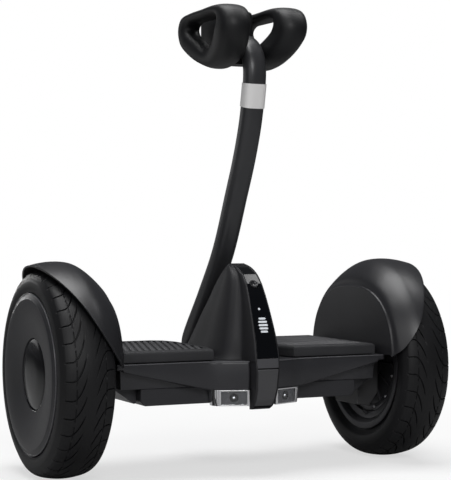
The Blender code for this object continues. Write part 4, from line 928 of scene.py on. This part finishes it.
# Knee bar
BAR_PATH = [(0.1125, 0.1225), (0.1125, 0.138), (0.1115, 0.15), (0.104, 0.168), (0.0545, 0.225),
            (0.008, 0.2846), (-0.0305, 0.357), (-0.053, 0.401), (-0.071, 0.446), (-0.081, 0.487),
            (-0.084, 0.511), (-0.0805, 0.528), (-0.07, 0.542), (-0.055, 0.55), (-0.04, 0.5525)]


def oval(count, power):
    """A unit outline between a circle (power 2) and a square."""
    angle = math.tau * (np.arange(count) + 0.5) / count
    c, s = np.cos(angle), np.sin(angle)
    scale = (np.abs(c) ** power + np.abs(s) ** power) ** (-1 / power)
    return np.stack([c * scale, s * scale], 1)


def bar_grid(grow):
    """Rings along the bar, grown outwards all round."""
    points = smooth_path(BAR_PATH, 8)
    along = np.gradient(points, axis=0)
    along /= np.linalg.norm(along, axis=1)[:, None]
    wide = BAR_W / 2 + grow
    thick = BAR_T / 2 + grow
    return np.array([[(u * wide, y + tz * v * thick, z - ty * v * thick) for u, v in oval(48, 3.0)]
                     for (y, z), (ty, tz) in zip(points, along)])


def knee_bar():
    sheet_piece("bar_tube", bar_grid(0.0), "bar", "steering", 60, ["knee_bar"],
                wrap="v", caps=True)
    low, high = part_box("label_band")
    skins = []
    for grow in (0.0009, 0.0002):
        skins.append([ring for ring in bar_grid(grow)
                      if low.z + 0.003 <= ring[:, 2].mean() <= high.z - 0.003])
    sheet_piece("pale_band", skins[0] + skins[1][::-1], "label", "steering", 40,
                ["label_band"], wrap="uv")


# Knee pads
# the loops' distance from the middle at top and bottom, and half their width at front and rear
PAD_X = (0.04, 0.027)
PAD_HALF = (0.0135, 0.0205)
PAD_ENDS_Y = (0.03, -0.107)
PAD_LEAN_Z = 0.56
PAD_LEAN_TALL = 0.04
PAD_OUT = [(-0.035, 0.5957), (-0.083, 0.5958), (-0.1125, 0.5895), (-0.1262, 0.568), (-0.117, 0.544),
           (-0.088, 0.5255), (-0.05, 0.518), (-0.018, 0.5235), (0.015, 0.5365), (0.0385, 0.554),
           (0.0465, 0.574), (0.036, 0.5915), (0.003, 0.5955)]
PAD_IN = [(-0.033, 0.5825), (-0.065, 0.583), (-0.0835, 0.5795), (-0.083, 0.571), (-0.067, 0.56),
          (-0.048, 0.551), (-0.033, 0.546), (-0.02, 0.548), (-0.003, 0.5585), (0.011, 0.567),
          (0.018, 0.5765), (0.008, 0.582), (-0.008, 0.5825)]


def knee_pad(side, sign):
    outer = smooth_path(PAD_OUT, 10, True)
    inner = smooth_path(PAD_IN, 10, True)
    section = oval(44, 2.5)
    rings = []
    for (oy, oz), (iy, iz) in zip(outer, inner):
        my, mz = (oy + iy) / 2, (oz + iz) / 2
        ry, rz = (oy - iy) / 2, (oz - iz) / 2
        x = PAD_X[0] + (PAD_X[1] - PAD_X[0]) * clamped((PAD_LEAN_Z - mz) / PAD_LEAN_TALL)
        back = (PAD_ENDS_Y[0] - my) / (PAD_ENDS_Y[0] - PAD_ENDS_Y[1])
        half = PAD_HALF[0] + (PAD_HALF[1] - PAD_HALF[0]) * back
        rings.append([(sign * (x + half * u), my + ry * v, mz + rz * v) for u, v in section])
    rings = np.array(rings)
    for _ in range(3):
        rings = (np.roll(rings, 1, 0) + 2 * rings + np.roll(rings, -1, 0)) / 4
    ob = sheet_piece(side + "_pad_loop", rings, "foam", "steering", 180, [side + "_knee_pad"],
                     wrap="uv")


def pad_bracket():
    """The bridge between the two loops, on its foot at the top of the bar."""
    half = [(0.012, 0.5425), (0.0155, 0.554), (0.0165, 0.564), (0.0165, 0.589), (0.015, 0.5925),
            (0.0115, 0.5942)]
    outline = half + [(-x, z) for x, z in reversed(half)]
    bm = move_bm(prism_bm(outline, -0.0445, 0.0465, 0.003, 4), Matrix.Rotation(math.pi / 2, 4, "X"))
    foot = [(-0.0135, -0.059), (0.0135, -0.059), (0.0135, -0.03), (-0.0135, -0.03)]
    join_bm(bm, prism_bm(foot, 0.524, 0.545, 0.002, 3))
    solid_from_bm("pad_bridge", bm, "foam", "steering", 40, ["pad_bracket"])


# Foot mats
MAT_IN_X = 0.045
MAT_OUT_X = 0.178
MAT_REAR_Y = -0.0834
MAT_FRONT_Y = 0.096
UNDERCUT = 0.0014
RIB_TALL = 0.0022
RIB_PITCH = 0.0085
RIB_SHARE = 0.56
RIB_LEAN = math.radians(18)
SHORTEST_RIB = 0.006


def clip(poly, a, b, c):
    """The part of a convex outline where a*x + b*y <= c."""
    out = []
    for p, q in zip(poly, poly[1:] + poly[:1]):
        fp = a * p[0] + b * p[1] - c
        fq = a * q[0] + b * q[1] - c
        if fp <= 0:
            out.append(p)
        if fp * fq < 0:
            t = fp / (fp - fq)
            out.append((p[0] + (q[0] - p[0]) * t, p[1] + (q[1] - p[1]) * t))
    return out


def foot_mat(side, sign):
    """The mat on its smaller sole, and the slanted ribs in its sunk field."""
    x_in, x_out, y0, y1 = MAT_IN_X, MAT_OUT_X, MAT_REAR_Y, MAT_FRONT_Y
    top = [(x_out, y0), (x_out, y1), (x_in + 0.026, y1), (x_in + 0.008, y1 - 0.012), (x_in, y1 - 0.04),
           (x_in + 0.0025, -0.05), (x_in + 0.012, y0)]
    sole = [(x_out - 0.003, y0 + 0.003), (x_out - 0.003, y1 - 0.003), (x_in + 0.029, y1 - 0.003),
            (x_in + 0.012, y1 - 0.014), (x_in + 0.004, y1 - 0.042), (x_in + 0.0065, -0.048),
            (x_in + 0.015, y0 + 0.003)]
    field = [(x_out - 0.007, y0 + 0.013), (x_out - 0.007, y1 - 0.01), (x_in + 0.03, y1 - 0.01),
             (x_in + 0.016, y1 - 0.02), (x_in + 0.009, y1 - 0.044), (x_in + 0.011, -0.052),
             (x_in + 0.019, y0 + 0.013)]

    def mat_prism(outline, *sizes):
        return prism_bm([(sign * x, y) for x, y in outline], *sizes)

    base = mat_prism(top, DECK_Z + UNDERCUT, MAT_TOP_Z, 0.0042, 5)
    ob = solid_from_bm(side + "_mat_body", base, "mat", "base", 40, [side + "_foot_mat"])
    floor_z = MAT_TOP_Z - RIB_TALL
    apply_boolean(ob, mat_prism(field, floor_z, MAT_TOP_Z + 0.01))
    # the sole overlaps the body, so it joins once the field is cut
    whole = mat_prism(sole, DECK_Z + GAP, DECK_Z + 0.003)
    whole.from_mesh(ob.data)
    whole.to_mesh(ob.data)
    whole.free()
    smooth_faces(ob.data, 30)

    across = (math.cos(RIB_LEAN), math.sin(RIB_LEAN))
    bm = bmesh.new()
    for k in range(-10, 32):
        low = k * RIB_PITCH
        poly = clip(field, -across[0], -across[1], -low)
        poly = clip(poly, across[0], across[1], low + RIB_PITCH * RIB_SHARE)
        ys = [y for x, y in poly]
        if len(poly) > 2 and max(ys) - min(ys) >= SHORTEST_RIB:
            join_bm(bm, mat_prism(poly, floor_z - 0.0002, MAT_TOP_Z, 0.0011, 3))
    # the ribs take the paler rib rubber, painted lighter than the mat as the light on their tops
    solid_from_bm(side + "_mat_ribs", bm, "rib", "base", 60)


# Power button
def button():
    point, normal = rear_place(BUTTON_Z)
    profile = [(0.00005, -0.0006), (0.002, -0.0005), (0.0034, -0.0001), (0.004, 0.0003), (0.0044, 0.0009),
               (0.0049, 0.0011), (0.0053, 0.0008), (0.0055, 0.0001), (0.0055, -0.005), (0.00005, -0.005)]
    steps = np.arange(48) * math.tau / 48
    grid = [[(r * math.cos(a), r * math.sin(a), z) for a in steps] for r, z in profile]
    mesh = sheet_mesh("button_dish", np.array(grid), wrap="uv")
    mesh.transform(Matrix.Translation(point) @ normal.to_track_quat("Z", "Y").to_matrix().to_4x4())
    piece("button_dish", mesh, "button", "power_button", 50, ["power_button"])


# Display
LIGHT_WIDTHS = (0.01, 0.0124, 0.0132, 0.0124, 0.01)
LIGHT_MIDDLE_Z = 0.1914
LIGHT_PITCH = 0.004
DOT_Z = 0.2113


def display():
    """Five bars and a dot of light on the glass."""
    bm = bmesh.new()
    for k, wide in enumerate(LIGHT_WIDTHS):
        place, normal = rear_place(LIGHT_MIDDLE_Z + (k - 2) * LIGHT_PITCH, 0, 0.0002)
        bar = block_bm(-wide / 2, wide / 2, -0.0002, 0.0002, -0.0013, 0.0013)
        corners = [e for e in bar.edges if abs(e.verts[0].co.y - e.verts[1].co.y) > 1e-6]
        bmesh.ops.bevel(bar, geom=corners, offset=0.0008, segments=3, affect="EDGES")
        turn = normal.to_track_quat("-Y", "Z").to_matrix().to_4x4()
        join_bm(bm, move_bm(bar, Matrix.Translation(place) @ turn))
    place, normal = rear_place(DOT_Z, -0.0014, 0.0002)
    join_bm(bm, rod_bm(place - normal * 0.0002, place + normal * 0.0002, 0.0015, 24))
    solid_from_bm("display_bars", bm, "lit", "base")


# Tail lamps
LAMP_MIDDLE = (0.0372, -0.1015, 0.10045)
LAMP_TILT = math.atan2(0.014, 0.0386)
LAMP_INNER_X = 0.0179
LAMP_SLOTS = ((0.019, 0.0204), (0.0226, 0.0236))
FIELD_X = 0.016
FIELD_Z = 0.0079
FIELD_Y = 0.0038
RIDGE = 0.0005
RIDGE_PITCH = 0.0012
WELL_R = 0.0058
WELL_DEPTH = 0.005


def lamp_turn(sign):
    """From the lamp's own frame, with its window facing -Y, to the row frame."""
    x, y, z = LAMP_MIDDLE
    return Matrix.Translation((sign * x, y, z)) @ Matrix.Rotation(LAMP_TILT * sign, 4, "Z")


def bezel(side, sign):
    plan = [(LAMP_INNER_X, -0.1085), (0.0565, -0.0945), (0.062, -0.0865), (0.062, -0.0765),
            (LAMP_INNER_X, -0.0765)]
    rings = []
    for z, shift in ((0.0905, -0.002), (0.1104, 0.0)):
        ring = [(sign * (x if x == LAMP_INNER_X else x + shift), y) for x, y in plan]
        rings.append([(x, y, z) for x, y in round_corner(ring, 0.0022, 4)])
    ob = sheet_piece(side + "_lamp_bezel", rings, "chrome", "base", 30,
                     [side + "_tail_lamp_bezel"], wrap="v", caps=True)
    cuts = [block_bm(-0.01655, 0.01655, -0.01, 0.012, -0.00835, 0.00835)]
    for x0, x1 in LAMP_SLOTS:
        x0, x1 = sorted((sign * x0, sign * x1))
        cuts.append(block_bm(x0, x1, -0.01, 0.0035, -0.0105, 0.0105))
    for cut in cuts:
        apply_boolean(ob, move_bm(cut, lamp_turn(sign)))
    bevel_edges(ob, 0.0004, 40)
    smooth_faces(ob.data, 30)


def field_point(x, z):
    """The plate behind the lens, with fine slanted ridges and a round well for the bulb."""
    r = math.hypot(x, z)
    ridge = RIDGE * abs(math.sin((x + 0.55 * z) * math.pi / RIDGE_PITCH)) if r >= 0.006 else 0
    return x, FIELD_Y - ridge + WELL_DEPTH * clamped((WELL_R - r) / 0.0008), z


def lamp(side, sign):
    bezel(side, sign)
    turn = lamp_turn(sign)
    front = np.array([[field_point(x, z) for z in np.linspace(-FIELD_Z, FIELD_Z, 65)]
                      for x in np.linspace(-FIELD_X, FIELD_X, 129)])
    back = front[::-1].copy()
    back[:, :, 1] = 0.0105
    mesh = sheet_mesh(side + "_lamp_field", np.concatenate([front, back]), wrap="u")
    close_mesh(mesh, fill=True)
    mesh.transform(turn)
    piece(side + "_lamp_field", mesh, "lamp_back", "base", 50)
    cup = [(0.0056, 0.0034), (0.0053, 0.0031), (0.005, 0.0034), (0.0047, 0.0072), (0.0024, 0.0079),
           (0.00005, 0.008), (0.00005, 0.0104), (0.0056, 0.0104)]
    bulb = [(0.0024, 0.0082), (0.0024, 0.005), (0.0019, 0.004), (0.001, 0.0034), (0.00005, 0.0032),
            (0.00005, 0.0082)]
    steps = np.arange(40) * math.tau / 40
    for name, look, run, old in (("cup", "cup", cup, [side + "_tail_lamp_reflector"]),
                                 ("bulb", "reflector", bulb, [])):
        grid = [[(r * math.cos(a), y, r * math.sin(a)) for a in steps] for r, y in run]
        mesh = sheet_mesh(side + "_lamp_" + name, np.array(grid), wrap="uv")
        mesh.transform(turn)
        piece(side + "_lamp_" + name, mesh, look, "base", 40, old)


# Fascia
# x, the rear face's y and the lower edge's z, from the lamp to the wheel
FASCIA = [(0.0176, -0.105, 0.1108), (0.04, -0.0985, 0.1108), (0.062, -0.091, 0.111),
          (0.09, -0.0885, 0.1165), (0.13, -0.088, 0.1255), (0.163, -0.088, 0.133),
          (0.1795, -0.088, 0.137), (0.1815, -0.088, 0.1395), (0.1893, -0.088, 0.1398)]
FASCIA_WALL = 0.0012
FASCIA_BULGE = 0.0011
FASCIA_TOP_Z = DECK_Z - 0.0022
BEAD_SECTION_R = 0.0006


def fascia(side, sign):
    """The skin of the rear fascia: a rolled top edge with a pale bead painted as its highlight line, a
    shallow bulge, a turned-in lower edge.
    """
    stations = even(smooth_path(FASCIA, 12), 90)
    grid = []
    for x, rear, low in stations:
        tall = FASCIA_TOP_Z - low - 0.0015
        bulge = FASCIA_BULGE * min(tall / 0.03, 1)
        row = [(rear + 0.0044, DECK_Z - 0.0004), (rear + 0.003, DECK_Z + 0.0002),
               (rear + 0.0014, DECK_Z - 0.0002), (rear + 0.0002, DECK_Z - 0.0011),
               (rear - 0.0003, FASCIA_TOP_Z)]
        row += [(rear - 0.0003 - bulge * math.sin(math.pi * t), FASCIA_TOP_Z - tall * t)
                for t in np.linspace(0.06, 1.0, 16)]
        row += [(rear + 0.0002, low + 0.0004), (rear + 0.0014, low - 0.0003), (rear + 0.004, low - 0.0003)]
        grid.append([(sign * x, y, z) for y, z in row])
    ob = sheet_piece(side + "_fascia_skin", grid, "paint", "base", 60)
    wall(ob, FASCIA_WALL, (sign * 0.08, -0.09, 0.13), (0, -1, 0))
    # a thin pale bead along the top edge: a painted highlight line
    radius = BEAD_SECTION_R
    bead = [[(sign * x, rear - 0.0001 + radius * math.cos(a), DECK_Z - 0.0007 + radius * math.sin(a))
             for a in np.arange(8) * math.tau / 8] for x, rear, low in stations]
    sheet_piece(side + "_fascia_highlight_bead", bead, "edge", "base", 60, wrap="v", caps=True)


camera()
stage()
dress_nodes()
for side, sign in SIDES:
    tyre(side, sign)
    wheel_cover(side, sign)
    hub(side, sign)
    fender(side, sign)
    knee_pad(side, sign)
    foot_mat(side, sign)
    lamp(side, sign)
    fascia(side, sign)
housing()
knee_bar()
button()
pad_bracket()
display()
